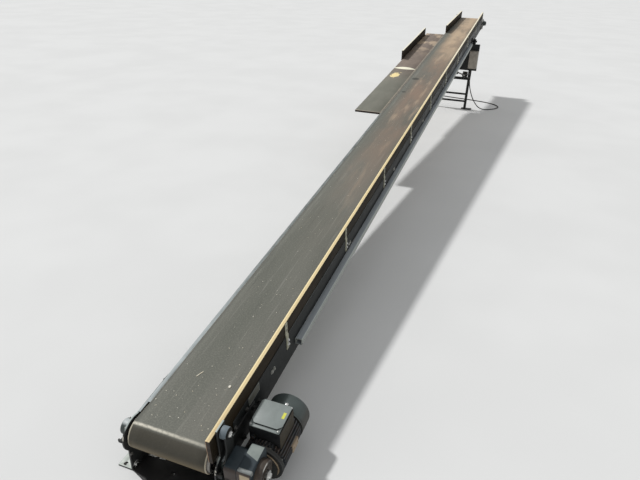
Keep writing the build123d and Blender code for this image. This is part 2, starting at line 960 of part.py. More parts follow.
# Mains lead: down from its gland, out on the floor in a loop and under the head to its coil
exit_x = box_middle[0] + gland_places[0][0]
exit_y = box_middle[1] + gland_places[0][1]
exit_z = box_base - gland_length
coil_centre = (stand_x + coil_place[0], coil_place[1])
coil_radius = (coil_outer - cable_diameter) / 2
ring_entry = math.sqrt((coil_outer / 2) ** 2 - (coil_outer / 2 - cable_diameter) ** 2)
cable_bends = (
    # distance beyond the stand, y, z
    (-70, -252, 235),
    (-52, -310, 115),
    (-18, -375, 36),
    (30, -440, cable_rest + cable_touch),
    (90, -505, cable_rest),
    (160, -570, cable_rest),
    (260, -610, cable_rest),
    (365, -585, cable_rest),
    (448, -510, cable_rest),
    (502, -410, cable_rest),
    (540, -290, cable_rest),
    (570, -160, cable_rest),
    (592, -20, cable_rest),
    (620, 120, cable_rest),
    (660, 270, cable_rest),
)
cable_points = (
    (exit_x, exit_y, exit_z),
    (exit_x, exit_y, exit_z - cable_drop),
    *[(stand_x + x, y, z) for x, y, z in cable_bends],
    (coil_centre[0] - coil_radius, coil_centre[1] - ring_entry, cable_rest),
)


def run_radii(points):
    """Bend radius at each inner point: a share of the shorter run over the tangent of half the turn."""
    radii = []
    for before, here, after in zip(points, points[1:], points[2:]):
        start = Vector(*here) - Vector(*before)
        leave = Vector(*after) - Vector(*here)
        turn = math.radians(start.get_angle(leave))
        radii.append(bend_share * min(start.length, leave.length) / math.tan(turn / 2))
    return radii


cable_radii = run_radii(cable_points)
with BuildPart() as mains_cable:
    with BuildLine() as cable_line:
        FilletPolyline(*cable_points, radius=cable_radii)
    with BuildSketch(Plane(origin=cable_line.line @ 0, z_dir=cable_line.line % 0)):
        Circle(cable_diameter / 2)
    sweep()
keep(mains_cable.part, "mains_cable")

with BuildPart() as cable_coil:
    with BuildSketch(Plane.XY.offset(running_gap)):
        with Locations((coil_centre[0], coil_centre[1])):
            Circle(coil_outer / 2)
            Circle(coil_inner / 2, mode=Mode.SUBTRACT)
    extrude(amount=coil_height)
keep(cable_coil.part, "cable_coil")

plug_x = coil_centre[0] - coil_radius
plug_neck_z = coil_height + running_gap - plug_neck_diameter / 2
plug_z = plug_diameter / 2 + running_gap
neck_start = coil_centre[1] + ring_entry + plug_gap
with BuildPart() as mains_plug:
    with BuildSketch(Plane(origin=(plug_x, neck_start, plug_neck_z), z_dir=(0, 1, 0))):
        Circle(plug_neck_diameter / 2)
    with BuildSketch(Plane(origin=(plug_x, neck_start + plug_neck_length, plug_z), z_dir=(0, 1, 0))):
        Circle(plug_diameter / 2)
    loft()
    with BuildSketch(Plane(origin=(plug_x, neck_start + plug_neck_length, plug_z), z_dir=(0, 1, 0))):
        Circle(plug_diameter / 2)
    extrude(amount=plug_length - plug_neck_length)
keep(mains_plug.part, "mains_plug")

print("cable radii", [round(radius) for radius in cable_radii])
print("cable run", round(sum(edge.length for edge in cable_line.edges())))
print("nodes", len(made), "pivot", round(pivot_x, 1), round(pivot_z, 1))
whole = Compound(children=made)
low, high = whole.bounding_box().min, whole.bounding_box().max
print("box", [round(v, 1) for v in (low.X, low.Y, low.Z, high.X, high.Y, high.Z)])
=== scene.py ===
"""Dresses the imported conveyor: every piece gets its shape in detail and its finish.

Pieces are made in millimetres, in the deck's axes or in the world's. The deck's x runs up the
belt from the drive drum, its y to the left and its z is the height above the belt's face.
"""

import math
import random
from itertools import product

import bmesh
import bpy
from mathutils import Matrix, Vector, noise


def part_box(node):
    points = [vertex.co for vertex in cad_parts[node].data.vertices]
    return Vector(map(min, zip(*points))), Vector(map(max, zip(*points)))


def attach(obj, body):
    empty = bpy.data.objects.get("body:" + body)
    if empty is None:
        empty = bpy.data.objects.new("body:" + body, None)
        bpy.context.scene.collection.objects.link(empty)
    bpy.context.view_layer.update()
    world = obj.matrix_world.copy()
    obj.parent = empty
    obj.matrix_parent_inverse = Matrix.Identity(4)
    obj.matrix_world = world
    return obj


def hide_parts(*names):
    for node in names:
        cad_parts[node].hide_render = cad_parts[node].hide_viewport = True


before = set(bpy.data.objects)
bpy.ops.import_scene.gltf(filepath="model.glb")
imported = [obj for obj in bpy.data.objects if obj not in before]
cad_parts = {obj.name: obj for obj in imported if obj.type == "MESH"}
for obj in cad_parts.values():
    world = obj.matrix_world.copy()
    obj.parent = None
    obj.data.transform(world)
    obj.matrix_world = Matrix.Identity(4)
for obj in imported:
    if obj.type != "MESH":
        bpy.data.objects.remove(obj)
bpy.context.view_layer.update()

# Sizes that the dressed pieces share with the frame, in millimetres
MM = 0.001
SLOPE = math.radians(6.2)
DRUM_SPACING = 7250
AXLE_DEPTH = 57
BELT_THICKNESS = 4
BELT_LEFT = 151
BELT_RIGHT = -141
BED_TOP = -4
BOARD_INNER = -159
BOARD_OUTER = -174
WEB_THICKNESS = 3
RIGHT_WEB = -177
LEFT_WEB = 168
PLATE_RIGHT = -183
PLATE_LEFT = 174
GEARBOX_FACE = -209
MOTOR_Y = -277
MOTOR_HEIGHT = -110
STAND_X = 6110
LEG_LEFT = 197
LEG_RIGHT = -206
ROLLER_PLACES = (1500, 3600, 5500)
ROLLER_HEIGHT = -134.5


def across_frame():
    """The deck's axes in the world: its origin stands on the drive drum's axle."""
    low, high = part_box("drive_drum")
    axle = (low + high) / 2 / MM
    origin = Vector((axle.x, 0, axle.z)) + AXLE_DEPTH * Vector((-math.sin(SLOPE), 0, math.cos(SLOPE)))
    return Matrix.Translation(origin) @ Matrix.Rotation(-SLOPE, 4, "Y")


DECK = across_frame()
WORLD = Matrix.Identity(4)
UP = Vector((0, 0, 1))


# Camera at the place from which the conveyor is seen: its heading, dip and roll are in degrees
CAMERA_PLACE = Vector((-1.0628, -0.857, 1.596))
CAMERA_HEADING = math.radians(19.6)
CAMERA_DIP = math.radians(27.05)
CAMERA_ROLL = math.radians(2.02)
CAMERA_LENS = 30.375
CAMERA_FAR = 400


def make_camera():
    """The camera that looks up the conveyor from beside its tail."""
    level = Vector((math.cos(CAMERA_HEADING), math.sin(CAMERA_HEADING), 0))
    right = Vector((math.sin(CAMERA_HEADING), -math.cos(CAMERA_HEADING), 0))
    ahead = level * math.cos(CAMERA_DIP) - UP * math.sin(CAMERA_DIP)
    above = right.cross(ahead)
    rolled_right = right * math.cos(CAMERA_ROLL) + above * math.sin(CAMERA_ROLL)
    rolled_up = above * math.cos(CAMERA_ROLL) - right * math.sin(CAMERA_ROLL)
    data = bpy.data.cameras.new("camera")
    data.lens = CAMERA_LENS
    data.clip_end = CAMERA_FAR
    camera = bpy.data.objects.new("camera", data)
    bpy.context.scene.collection.objects.link(camera)
    turn = Matrix((rolled_right, rolled_up, -ahead)).transposed().to_4x4()
    camera.matrix_world = Matrix.Translation(CAMERA_PLACE) @ turn
    bpy.context.scene.camera = camera


# Mains lead: its route on the floor, its coil and the way into its plug, in metres
LEAD_DIAMETER = 0.011
LEAD_REST = 0.0058
LEAD_ROUTE = (
    (6.035, -0.219, 0.490),
    (6.035, -0.219, 0.370),
    (6.040, -0.252, 0.235),
    (6.058, -0.310, 0.115),
    (6.092, -0.375, 0.036),
    (6.140, -0.440, LEAD_REST + 0.003),
    (6.200, -0.505, LEAD_REST),
    (6.270, -0.570, LEAD_REST),
    (6.370, -0.610, LEAD_REST),
    (6.475, -0.585, LEAD_REST),
    (6.558, -0.510, LEAD_REST),
    (6.612, -0.410, LEAD_REST),
    (6.650, -0.290, LEAD_REST),
    (6.680, -0.160, LEAD_REST),
    (6.702, -0.020, LEAD_REST),
    (6.730, 0.120, LEAD_REST),
    (6.770, 0.270, LEAD_REST),
)
COIL_CENTRE = Vector((6.865, 0.455, 0))
COIL_OUTER = 0.0705
COIL_INNER = 0.0590
COIL_TURNS = ((COIL_OUTER, LEAD_REST), (COIL_INNER, LEAD_REST), (COIL_INNER, 0.0170), (COIL_OUTER, 0.0170))
COIL_STEPS = 16
PLUG_NECK = Vector((6.7945, 0.5004, 0.0143))
PLUG_ENTRY = 0.008
PLUG_APPROACH = Vector((0, 0.02, -0.001))


def smooth(share):
    """Eases a share of 0 to 1."""
    return share * share * (3 - 2 * share)


def lead_points():
    """The route, the coil's turns wound clockwise from its western side, and the way to the plug."""
    points = [Vector(point) for point in LEAD_ROUTE]
    total = len(COIL_TURNS) * COIL_STEPS
    for step in range(total):
        turn = step / COIL_STEPS
        index = int(turn)
        share = turn - index
        radius, height = COIL_TURNS[index]
        if index + 1 < len(COIL_TURNS) and share > 0.5:
            later_radius, later_height = COIL_TURNS[index + 1]
            part = smooth(2 * share - 1)
            radius += (later_radius - radius) * part
            height += (later_height - height) * part
        angle = math.pi - 2 * math.pi * turn
        points.append(COIL_CENTRE + Vector((radius * math.cos(angle), radius * math.sin(angle), height)))
    radius, height = COIL_TURNS[-1]
    points.append(COIL_CENTRE + Vector((-radius, 0, height)))
    points.append(PLUG_NECK - PLUG_APPROACH)
    points.append(PLUG_NECK + Vector((0, PLUG_ENTRY, 0)))
    return points


def make_lead(finish):
    """The lead's own curve."""
    points = lead_points()
    data = bpy.data.curves.new("mains_lead", "CURVE")
    data.dimensions = "3D"
    spline = data.splines.new("NURBS")
    spline.points.add(len(points) - 1)
    for point, place in zip(spline.points, points):
        point.co = (*place, 1)
    spline.order_u = 3
    spline.use_endpoint_u = True
    spline.resolution_u = 6
    data.bevel_depth = LEAD_DIAMETER / 2
    data.bevel_resolution = 4
    data.use_fill_caps = True
    data.materials.append(finish)
    lead = bpy.data.objects.new("mains_lead", data)
    bpy.context.scene.collection.objects.link(lead)
    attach(lead, "frame")
    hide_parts("mains_cable", "cable_coil")
    return lead


# Finishes
EVEN = (1, 1, 1)


class Finish:
    """A node-based material. Its patterns lie along the deck's axes, in metres."""

    def __init__(self, name, rough=0.6, metal=0.0, specular=0.5):
        self.material = bpy.data.materials.new(name)
        self.material.use_nodes = True
        self.tree = self.material.node_tree
        self.shader = self.tree.nodes["Principled BSDF"]
        self.shader.inputs["Roughness"].default_value = rough
        self.shader.inputs["Metallic"].default_value = metal
        self.shader.inputs["Specular IOR Level"].default_value = specular
        spots = self.put("TexCoord", {}, out=None)
        shift = DECK.inverted().translation * MM
        turned_to_deck = {"Vector": spots.outputs["Object"], "Location": shift, "Rotation": (0, SLOPE, 0)}
        self.place = self.put("Mapping", turned_to_deck)
        self.along, self.aside, self.height = self.parts(self.place)
        self.facing = self.parts(spots.outputs["Normal"])
        self.base = None

    def put(self, kind, inputs, out=0, **settings):
        """One node with its inputs linked or set."""
        node = self.tree.nodes.new("ShaderNode" + kind)
        for key, value in settings.items():
            setattr(node, key, value)
        for key, value in inputs.items():
            if isinstance(value, bpy.types.NodeSocket):
                self.tree.links.new(value, node.inputs[key])
            else:
                node.inputs[key].default_value = value
        return node if out is None else node.outputs[out]

    def parts(self, vector):
        """The three numbers of a vector."""
        return self.put("SeparateXYZ", {0: vector}, out=None).outputs[:3]

    def math(self, operation, *values):
        return self.put("Math", dict(enumerate(values)), operation=operation)

    def both(self, *shares):
        """The product of two or more shares."""
        product = shares[0]
        for share in shares[1:]:
            product = self.math("MULTIPLY", product, share)
        return product

    def step(self, value, low, high, start=0.0, end=1.0):
        """Rises smoothly from start to end between low and high."""
        limits = {"Value": value, "From Min": low, "From Max": high, "To Min": start, "To Max": end}
        return self.put("MapRange", limits, interpolation_type="SMOOTHSTEP")

    def fall(self, value, low, high, start=1.0):
        """Falls smoothly from start to nothing between low and high."""
        return self.step(value, low, high, start, 0.0)

    def between(self, value, low, high, soft):
        """One inside low to high, with soft ends."""
        return self.both(self.step(value, low - soft, low + soft), self.fall(value, high - soft, high + soft))

    def noise(self, scale, detail=4.0, stretch=EVEN, rough=0.55):
        """Noise with its grains stretched along the deck's axes."""
        place = self.put("Mapping", {"Vector": self.place, "Scale": stretch})
        return self.put("TexNoise", {"Vector": place, "Scale": scale, "Detail": detail, "Roughness": rough})

    def cloud(self, scale=20, stretch=EVEN):
        """Broad soft patches."""
        return self.noise(scale, 5, stretch, 0.6)

    def grit(self):
        """A casting's coarse skin."""
        return self.noise(330, 4)

    def peel(self):
        """Sprayed paint's orange peel."""
        return self.noise(420, 3)

    def cells(self, scale):
        """Distance from the nearest of scattered points."""
        place = self.put("Mapping", {"Vector": self.place, "Scale": EVEN})
        return self.put("TexVoronoi", {"Vector": place, "Scale": scale})

    def reach(self, one, other):
        """The length of a step whose two legs are given."""
        squares = self.math("ADD", self.math("POWER", one, 2.0), self.math("POWER", other, 2.0))
        return self.math("SQRT", squares)

    def mix(self, share, one, two):
        """Goes from one colour, in linear light, to another."""
        one, two = [(*colour, 1.0) if isinstance(colour, tuple) else colour for colour in (one, two)]
        return self.put("Mix", {0: share, 6: one, 7: two}, out=2, data_type="RGBA")

    def blend(self, pattern, dark, light, low=0.3, high=0.7):
        """Goes from dark to light as a pattern rises."""
        return self.mix(self.step(pattern, low, high), dark, light)

    def lay(self, share, colour):
        """Lays a colour over what is there."""
        self.base = self.mix(share, self.base, colour)

    def dust(self, colour, least, most, scale=14.0):
        """Lays dust on what faces up, in uneven patches."""
        patches = self.step(self.noise(scale), 0.35, 0.75, least, most)
        self.lay(self.both(patches, self.step(self.facing[2], 0.3, 0.95)), colour)

    def done(self, pattern=None, rough=(), height=None, depth=0.0, strength=0.5, low=0.3):
        """Gives the shader its colour, a roughness that follows a pattern, and its relief in metres."""
        self.tree.links.new(self.base, self.shader.inputs["Base Color"])
        if rough:
            self.tree.links.new(self.step(pattern, low, 0.7, *rough), self.shader.inputs["Roughness"])
        if height:
            relief = {"Height": height, "Distance": depth, "Strength": strength}
            self.tree.links.new(self.put("Bump", relief, out="Normal"), self.shader.inputs["Normal"])
        return self.material


DUST = (0.30, 0.27, 0.21)
CRISP = (0.35, 0.65)
FILM_MESH = 2600
PLY_PITCH = 2300
BELT_SPOTS = ((4.171, 0.100, 0.048), (3.753, 0.116, 0.026))
BELT_MIDDLE = 0.005
RIM_MIDDLE = 0.0075


def belt_browns(f):
    """The belt's brown and tan middle, which grows warmer towards the head."""
    middle = f.between(f.aside, -0.11, 0.08, 0.06)
    head = f.both(f.step(f.along, 0.9, 3.6), middle)
    f.lay(f.both(head, f.step(f.noise(5, 5, (0.3, 1, 1)), 0.34, 0.60, 0.2, 0.9)), (0.27, 0.195, 0.145))
    f.lay(f.both(head, f.step(f.noise(14, 4, (0.12, 1, 1), 0.6), 0.52, 0.68, 0.0, 0.7)), (0.46, 0.35, 0.25))
    patches = f.step(f.noise(6, 4, (0.5, 1, 1)), 0.35, 0.6, 0.4, 0.95)
    f.lay(f.both(f.step(f.along, 4.4, 5.8), patches, middle), (0.54, 0.41, 0.28))


def belt_marks(f):
    """Fine scratches, pale specks, dark spots and a dark margin."""
    f.lay(f.step(f.noise(240, 2, (0.012, 1, 1), 0.5), 0.66, 0.74, 0.0, 0.55), (0.36, 0.35, 0.30))
    specks = f.fall(f.cells(210), 0.05, 0.14, 0.85)
    f.lay(f.both(specks, f.step(f.noise(26, 2), 0.45, 0.60)), (0.60, 0.57, 0.48))
    for x, y, reach in BELT_SPOTS:
        far = f.reach(f.math("SUBTRACT", f.along, x), f.math("SUBTRACT", f.aside, y))
        f.lay(f.fall(far, reach * 0.4, reach, 0.8), (0.05, 0.052, 0.045))
    off_middle = f.math("ABSOLUTE", f.math("SUBTRACT", f.aside, BELT_MIDDLE))
    f.lay(f.step(off_middle, 0.128, 0.146, 0.0, 0.45), (0.075, 0.075, 0.068))


def belt_nose(f):
    """Where the belt turns down round the drum: painted shade where it faces away from the light, browner
    lower down, with a painted highlight line and pale rims.
    """
    # Painted shade on the nose where it faces away from the light
    shaded_nose = f.fall(f.facing[0], -0.55, -0.30)
    f.lay(f.both(shaded_nose, 0.88), (0.058, 0.052, 0.040))
    f.lay(f.both(shaded_nose, f.fall(f.facing[2], -0.45, 0.35, 0.7)), (0.22, 0.175, 0.11))
    # Painted highlight: a bright line across the nose where it starts to turn down
    worn = f.both(f.between(f.facing[0], -0.37, -0.22, 0.06), f.step(f.aside, -0.16, 0.12, 0.45, 0.95))
    f.lay(f.both(worn, f.step(f.noise(75, 4), 0.3, 0.55, 0.45, 1.0)), (0.66, 0.62, 0.52))
    off_middle = f.math("ABSOLUTE", f.math("SUBTRACT", f.aside, RIM_MIDDLE))
    rim = f.step(off_middle, 0.1425, 0.1455, 0.0, 0.8)
    f.lay(f.both(rim, f.fall(f.facing[0], -0.5, -0.25)), (0.50, 0.46, 0.36))


def belt_finish():
    """Grey-green rubber under dust, with lengthwise scratches."""
    f = Finish("belt_rubber", specular=0.15)
    cloud = f.noise(2.2, 5, (0.35, 1.6, 1))
    fine = f.noise(160, 3)
    streak = f.noise(55, 4, (0.03, 1, 1), 0.7)
    f.base = f.blend(cloud, (0.118, 0.122, 0.102), (0.168, 0.166, 0.143))
    f.lay(f.step(streak, 0.56, 0.70, 0.0, 0.5), (0.27, 0.265, 0.235))
    f.lay(f.fall(streak, 0.30, 0.42, 0.45), (0.065, 0.068, 0.06))
    f.lay(f.step(fine, 0.4, 0.7, 0.0, 0.4), (0.24, 0.236, 0.20))
    belt_browns(f)
    belt_marks(f)
    belt_nose(f)
    return f.done(cloud, (0.52, 0.66), f.math("ADD", f.both(fine, 0.5), streak), 0.0008)


def belt_edge_finish():
    """The belt's cut edge, where its pale plies show."""
    f = Finish("belt_edge", rough=0.85, specular=0.2)
    frayed = f.noise(300, 4, (0.3, 1, 1))
    f.base = f.blend(frayed, (0.42, 0.35, 0.26), (0.62, 0.55, 0.44), *CRISP)
    return f.done(height=frayed, depth=0.0006, strength=0.6)


def film_finish():
    """Dark brown film on plywood: faint mesh, scuffs and grey dust."""
    f = Finish("film_face", specular=0.12)
    scuffs = f.noise(30, 6, (0.15, 1, 1), 0.7)
    mesh = f.both(f.math("SINE", f.both(f.along, FILM_MESH)), 0.5)
    f.base = f.blend(f.noise(4), (0.015, 0.011, 0.006), (0.029, 0.021, 0.012), 0.35)
    f.lay(f.step(scuffs, 0.60, 0.80, 0.0, 0.4), (0.11, 0.085, 0.055))
    f.dust((0.155, 0.125, 0.098), 0.45, 0.95, 9.0)
    return f.done(scuffs, (0.55, 0.75), f.math("ADD", mesh, f.both(scuffs, 3.0)), 0.0002, 0.4, low=0.4)


# Marks on the side table: the spill's centre and axes and the crescent's ends, in metres
SPILL_PLACE = (4.238, 0.3095)
SPILL_AXES = ((5.0, -23.4), (11.5, 18.2))
CRESCENT_ENDS = (0.394, 0.160)
CRESCENT_PLACE = 4.479
CRESCENT_TOP = 0.066
CRESCENT_BOTTOM = 0.022
CRESCENT_SOFT = (-0.004, 0.010)


def table_spill(f):
    """The yellow spill, a ragged ellipse that lies askew."""
    from_x = f.math("SUBTRACT", f.along, SPILL_PLACE[0])
    from_y = f.math("SUBTRACT", f.aside, SPILL_PLACE[1])
    parts = []
    for share_x, share_y in SPILL_AXES:
        part = f.math("ADD", f.both(from_x, share_x), f.both(from_y, share_y))
        parts.append(f.math("POWER", part, 2.0))
    reach = f.math("ADD", f.math("ADD", *parts), f.both(f.noise(22, 4), 6.0))
    f.lay(f.fall(reach, 3.7, 4.5), (0.84, 0.68, 0.34))


def table_crescent(f):
    """The cream crescent across the table."""
    first, last = CRESCENT_ENDS
    share = f.math("DIVIDE", f.math("SUBTRACT", first, f.aside), first - last)
    bulge = f.both(f.both(share, 4.0), f.math("SUBTRACT", 1.0, share))
    over = f.math("SUBTRACT", f.along, CRESCENT_PLACE)
    top = f.step(f.math("SUBTRACT", f.both(bulge, CRESCENT_TOP), over), *CRESCENT_SOFT)
    bottom = f.step(f.math("ADD", f.both(bulge, CRESCENT_BOTTOM), over), *CRESCENT_SOFT)
    f.lay(f.both(top, bottom, f.step(bulge, 0.0, 0.06)), (0.90, 0.86, 0.68))


def table_finish():
    """The side table's film under grey dust, with a yellow spill and a cream crescent across it."""
    f = Finish("table_face", specular=0.3)
    dusty = f.noise(7, 6, (0.5, 1, 1), 0.65)
    near = f.blend(dusty, (0.145, 0.145, 0.115), (0.205, 0.200, 0.165))
    far = f.blend(dusty, (0.17, 0.135, 0.11), (0.25, 0.20, 0.165))
    f.base = f.mix(f.step(f.along, 3.9, 4.7), near, far)
    f.lay(f.fall(f.cells(120), 0.06, 0.16, 0.5), (0.34, 0.30, 0.22))
    patches = f.step(f.noise(9, 4, (0.6, 1, 1)), 0.44, 0.62, 0.0, 0.9)
    f.lay(f.both(f.step(f.along, 4.9, 5.7), patches), (0.54, 0.42, 0.30))
    edge = f.math("MAXIMUM", f.step(f.aside, 0.406, 0.410, 0.0, 0.6), f.fall(f.aside, 0.174, 0.177, 0.5))
    edge = f.math("MAXIMUM", edge, f.fall(f.along, 3.176, 3.182, 0.9))
    f.lay(edge, (0.40, 0.34, 0.28))
    table_spill(f)
    table_crescent(f)
    return f.done(dusty, (0.6, 0.85), dusty, 0.0006)


def ply_finish(across):
    """Plywood's edge: pale outer plies and tan inner ones lie across one of the deck's axes, 0 to 2."""
    f = Finish("ply_edge_" + "xyz"[across], rough=0.78, specular=0.25)
    depth = (f.along, f.aside, f.height)[across]
    wave = f.both(f.math("SUBTRACT", f.noise(18, 3, (0.2, 1, 1)), 0.5), 0.0012)
    layer = f.math("SINE", f.both(f.math("ADD", depth, wave), PLY_PITCH))
    grain = f.noise(420, 3, (0.25, 1, 1))
    stain = f.noise(9, 5, (0.3, 1, 1), 0.65)
    f.base = f.blend(layer, (0.82, 0.66, 0.36), (0.92, 0.80, 0.50), -0.6, 0.6)
    if across == 1:
        inner = f.between(f.aside, BOARD_OUTER * MM + 0.0055, BOARD_INNER * MM - 0.0055, 0.0015)
        f.lay(f.both(inner, 0.75), (0.68, 0.50, 0.26))
    f.lay(f.step(grain, 0.52, 0.75, 0.0, 0.35), (0.56, 0.40, 0.20))
    f.lay(f.step(stain, 0.58, 0.80, 0.0, 0.5), (0.52, 0.38, 0.22))
    paler = f.math("MAXIMUM", f.step(f.along, 2.5, 5.5, 0.0, 0.7), f.step(f.aside, 0.2, 0.4, 0.0, 0.9))
    f.lay(paler, (0.92, 0.88, 0.74))
    grime = f.step(f.along, 0.20, -0.08, 0.0, 0.4)
    f.lay(f.both(grime, f.step(stain, 0.3, 0.6)), (0.48, 0.34, 0.20))
    return f.done(height=f.math("ADD", layer, grain), depth=0.0004)


def end_shade_finish():
    """A board's cut end, painted dark brown as its shade and dirt, with a thin paler line down its left edge.
    """
    f = Finish("end_shade_and_dirt", rough=0.6, specular=0.35)
    f.base = f.blend(f.noise(60, 5), (0.018, 0.012, 0.008), (0.050, 0.032, 0.020), 0.35)
    line = f.between(f.aside, BOARD_INNER * MM - 0.0016, BOARD_INNER * MM + 0.001, 0.0006)
    f.lay(f.both(line, 0.8), (0.46, 0.28, 0.16))
    return f.done(height=f.noise(300, 4), depth=0.0004, strength=0.6)


def painted_finish(name, dark, light, dust, rust=0.25):
    """Sprayed steel with orange peel, worn patches, a little rust and dust where it faces up."""
    f = Finish(name, specular=0.2)
    cloud = f.cloud(11, (0.4, 1, 1))
    worn = f.noise(70, 6, (0.25, 1, 1), 0.75)
    f.base = f.blend(cloud, dark, light)
    f.lay(f.step(worn, 0.66, 0.76, 0.0, 0.5), (0.20, 0.19, 0.17))
    f.lay(f.both(f.step(worn, 0.60, 0.70), f.step(cloud, 0.5, 0.66, 0.0, rust)), (0.16, 0.065, 0.025))
    f.dust(dust, 0.12, 0.55)
    return f.done(cloud, (0.4, 0.62), f.math("ADD", f.peel(), worn), 0.0003, 0.4)


def metal_finish(name, dark, light, rough=(0.34, 0.55), rust=0.3):
    """Bare or plated steel: drawn grain, dull patches and a trace of rust."""
    f = Finish(name, metal=0.85)
    drawn = f.noise(260, 4, (0.06, 1, 1), 0.7)
    cloud = f.noise(24, 5)
    f.base = f.blend(cloud, dark, light, 0.32, 0.68)
    f.lay(f.step(drawn, 0.55, 0.75, 0.0, 0.35), (0.60, 0.60, 0.57))
    f.lay(f.both(f.step(f.noise(90, 5), 0.58, 0.7), f.step(cloud, 0.45, 0.65, 0.0, rust)), (0.20, 0.09, 0.04))
    return f.done(cloud, rough, drawn, 0.0002)


def plate_light_finish():
    """A tail plate's dark paint, painted pale as sunlight along its upper rim and on top of its foot."""
    f = Finish("plate_paint_and_light", specular=0.45)
    cloud = f.cloud(11, (0.4, 1, 1))
    chips = f.noise(55, 3, EVEN, 0.5)
    f.base = f.blend(cloud, (0.013, 0.014, 0.014), (0.027, 0.027, 0.025))
    # Painted sunlight on the upper rim where it faces up
    rim = f.both(f.step(f.facing[2], 0.60, 0.85), f.fall(f.along, 0.055, 0.075))
    f.lay(f.both(rim, 0.9), (0.40, 0.45, 0.43))
    front = f.both(f.fall(f.facing[0], -0.7, -0.4), f.between(f.height, -0.075, 0.0, 0.01))
    f.lay(f.both(front, f.step(chips, 0.56, 0.60)), (0.46, 0.44, 0.38))
    # Painted sunlight on the top of the foot
    foot = f.both(f.step(f.facing[2], 0.85, 0.95), f.fall(f.height, -0.135, -0.125))
    f.lay(foot, f.blend(chips, (0.40, 0.44, 0.40), (0.52, 0.55, 0.50)))
    return f.done(cloud, (0.4, 0.6), f.math("ADD", f.peel(), chips), 0.0003, 0.4)


def arris_highlight_finish():
    """The right member's top arris: dark near the tail, with a painted highlight along it beyond."""
    f = Finish("arris_highlight", specular=0.45)
    worn = f.noise(70, 5, (0.1, 1, 1), 0.7)
    # Painted highlight along the arris, broken up by noise
    light = f.both(f.step(f.along, 0.42, 0.60), f.step(worn, 0.3, 0.6, 0.35, 1.0))
    f.base = f.mix(light, (0.02, 0.021, 0.02), (0.12, 0.13, 0.125))
    return f.done(worn, (0.45, 0.65))


def strip_finish():
    """The left strip beside the belt: pale blue-grey near the tail, dusty beyond the side table's start, with
    a painted highlight along the web's top edge there.
    """
    f = Finish("strip_paint", specular=0.4)
    worn = f.noise(50, 5, (0.15, 1, 1), 0.7)
    near = f.blend(worn, (0.24, 0.27, 0.27), (0.42, 0.46, 0.46), *CRISP)
    middle = f.blend(worn, (0.12, 0.135, 0.13), (0.24, 0.26, 0.25), *CRISP)
    dusty = f.blend(worn, (0.13, 0.12, 0.095), (0.20, 0.18, 0.145), *CRISP)
    f.base = f.mix(f.step(f.along, 0.3, 1.2), near, middle)
    f.lay(f.step(f.along, 3.0, 3.3), dusty)
    # Painted highlight along the web's top edge
    line = f.both(f.step(f.aside, 0.1665, 0.1675), f.step(f.along, 3.0, 3.3, 0.0, 0.55))
    f.lay(line, (0.40, 0.37, 0.31))
    return f.done(worn, (0.45, 0.7), worn, 0.0003, 0.4)


def bearing_highlight_finish():
    """A bearing's dark cast body whose crest is painted pale, as dust and a highlight."""
    f = Finish("bearing_cast_and_highlight")
    cloud = f.cloud()
    f.base = f.blend(cloud, (0.022, 0.032, 0.030), (0.042, 0.055, 0.052))
    # Painted highlight and dust on the crest that faces up
    f.lay(f.both(f.step(f.facing[2], 0.72, 0.97), f.step(cloud, 0.25, 0.5, 0.5, 1.0)), (0.44, 0.47, 0.47))
    return f.done(cloud, (0.38, 0.58), f.grit(), 0.0005)


def sunlit_gear_patch(f):
    """Painted sunlight on the casing's top: a pale strip whose near end is cut askew by a painted shadow
    edge.
    """
    askew = f.both(f.math("ADD", f.aside, 0.255), 0.37)
    # Painted shadow edge of the arm's eye, cut askew across the strip's near end
    ear_shadow_edge = f.step(f.math("SUBTRACT", f.along, askew), 0.0120, 0.0138)
    patch = f.both(ear_shadow_edge, f.fall(f.along, 0.0507, 0.0523), f.between(f.aside, -0.305, -0.2565, 0.0008))
    pale = f.blend(f.noise(26, 4), (0.205, 0.235, 0.220), (0.255, 0.285, 0.265))
    # Painted sunlight on the top within that strip
    f.lay(f.both(patch, f.step(f.facing[2], 0.80, 0.92)), pale)


def gear_finish():
    """Blue-black casing paint, painted sunlight in a pale patch on its top, and a brown-black front with a
    tan patch.
    """
    f = Finish("gear_paint_and_sunlit_patch", specular=0.3)
    cloud = f.cloud()
    f.base = f.blend(cloud, (0.021, 0.031, 0.037), (0.035, 0.048, 0.056))
    front = f.fall(f.facing[0], -0.85, -0.5)
    f.lay(front, f.blend(cloud, (0.045, 0.034, 0.030), (0.075, 0.058, 0.048)))
    scrape = f.both(f.between(f.aside, -0.300, -0.266, 0.002), f.between(f.height, -0.034, -0.008, 0.002))
    f.lay(f.both(front, scrape), (0.46, 0.38, 0.26))
    sunlit_gear_patch(f)
    return f.done(cloud, (0.42, 0.6), f.grit(), 0.0005, 0.4)


def hub_finish():
    """The output hub's oily brown face with a painted highlight in an arc over its shaft."""
    f = Finish("hub_cast_and_glint", specular=0.45)
    cloud = f.cloud(28)
    f.base = f.blend(cloud, (0.030, 0.022, 0.017), (0.070, 0.052, 0.038))
    above = f.math("ADD", f.height, AXLE_DEPTH * MM)
    reach = f.reach(f.along, above)
    heading = f.math("DIVIDE", f.along, reach)
    # Painted highlight: a pale arc on the hub's rim above the shaft
    arc = f.both(f.between(reach, 0.0380, 0.0440, 0.0012), f.between(heading, -0.42, 0.30, 0.12))
    arc = f.both(arc, f.step(above, 0.005, 0.015), f.fall(f.aside, -0.3190, -0.3170))
    f.lay(arc, (0.62, 0.60, 0.56))
    return f.done(cloud, (0.38, 0.6), f.grit(), 0.0005)


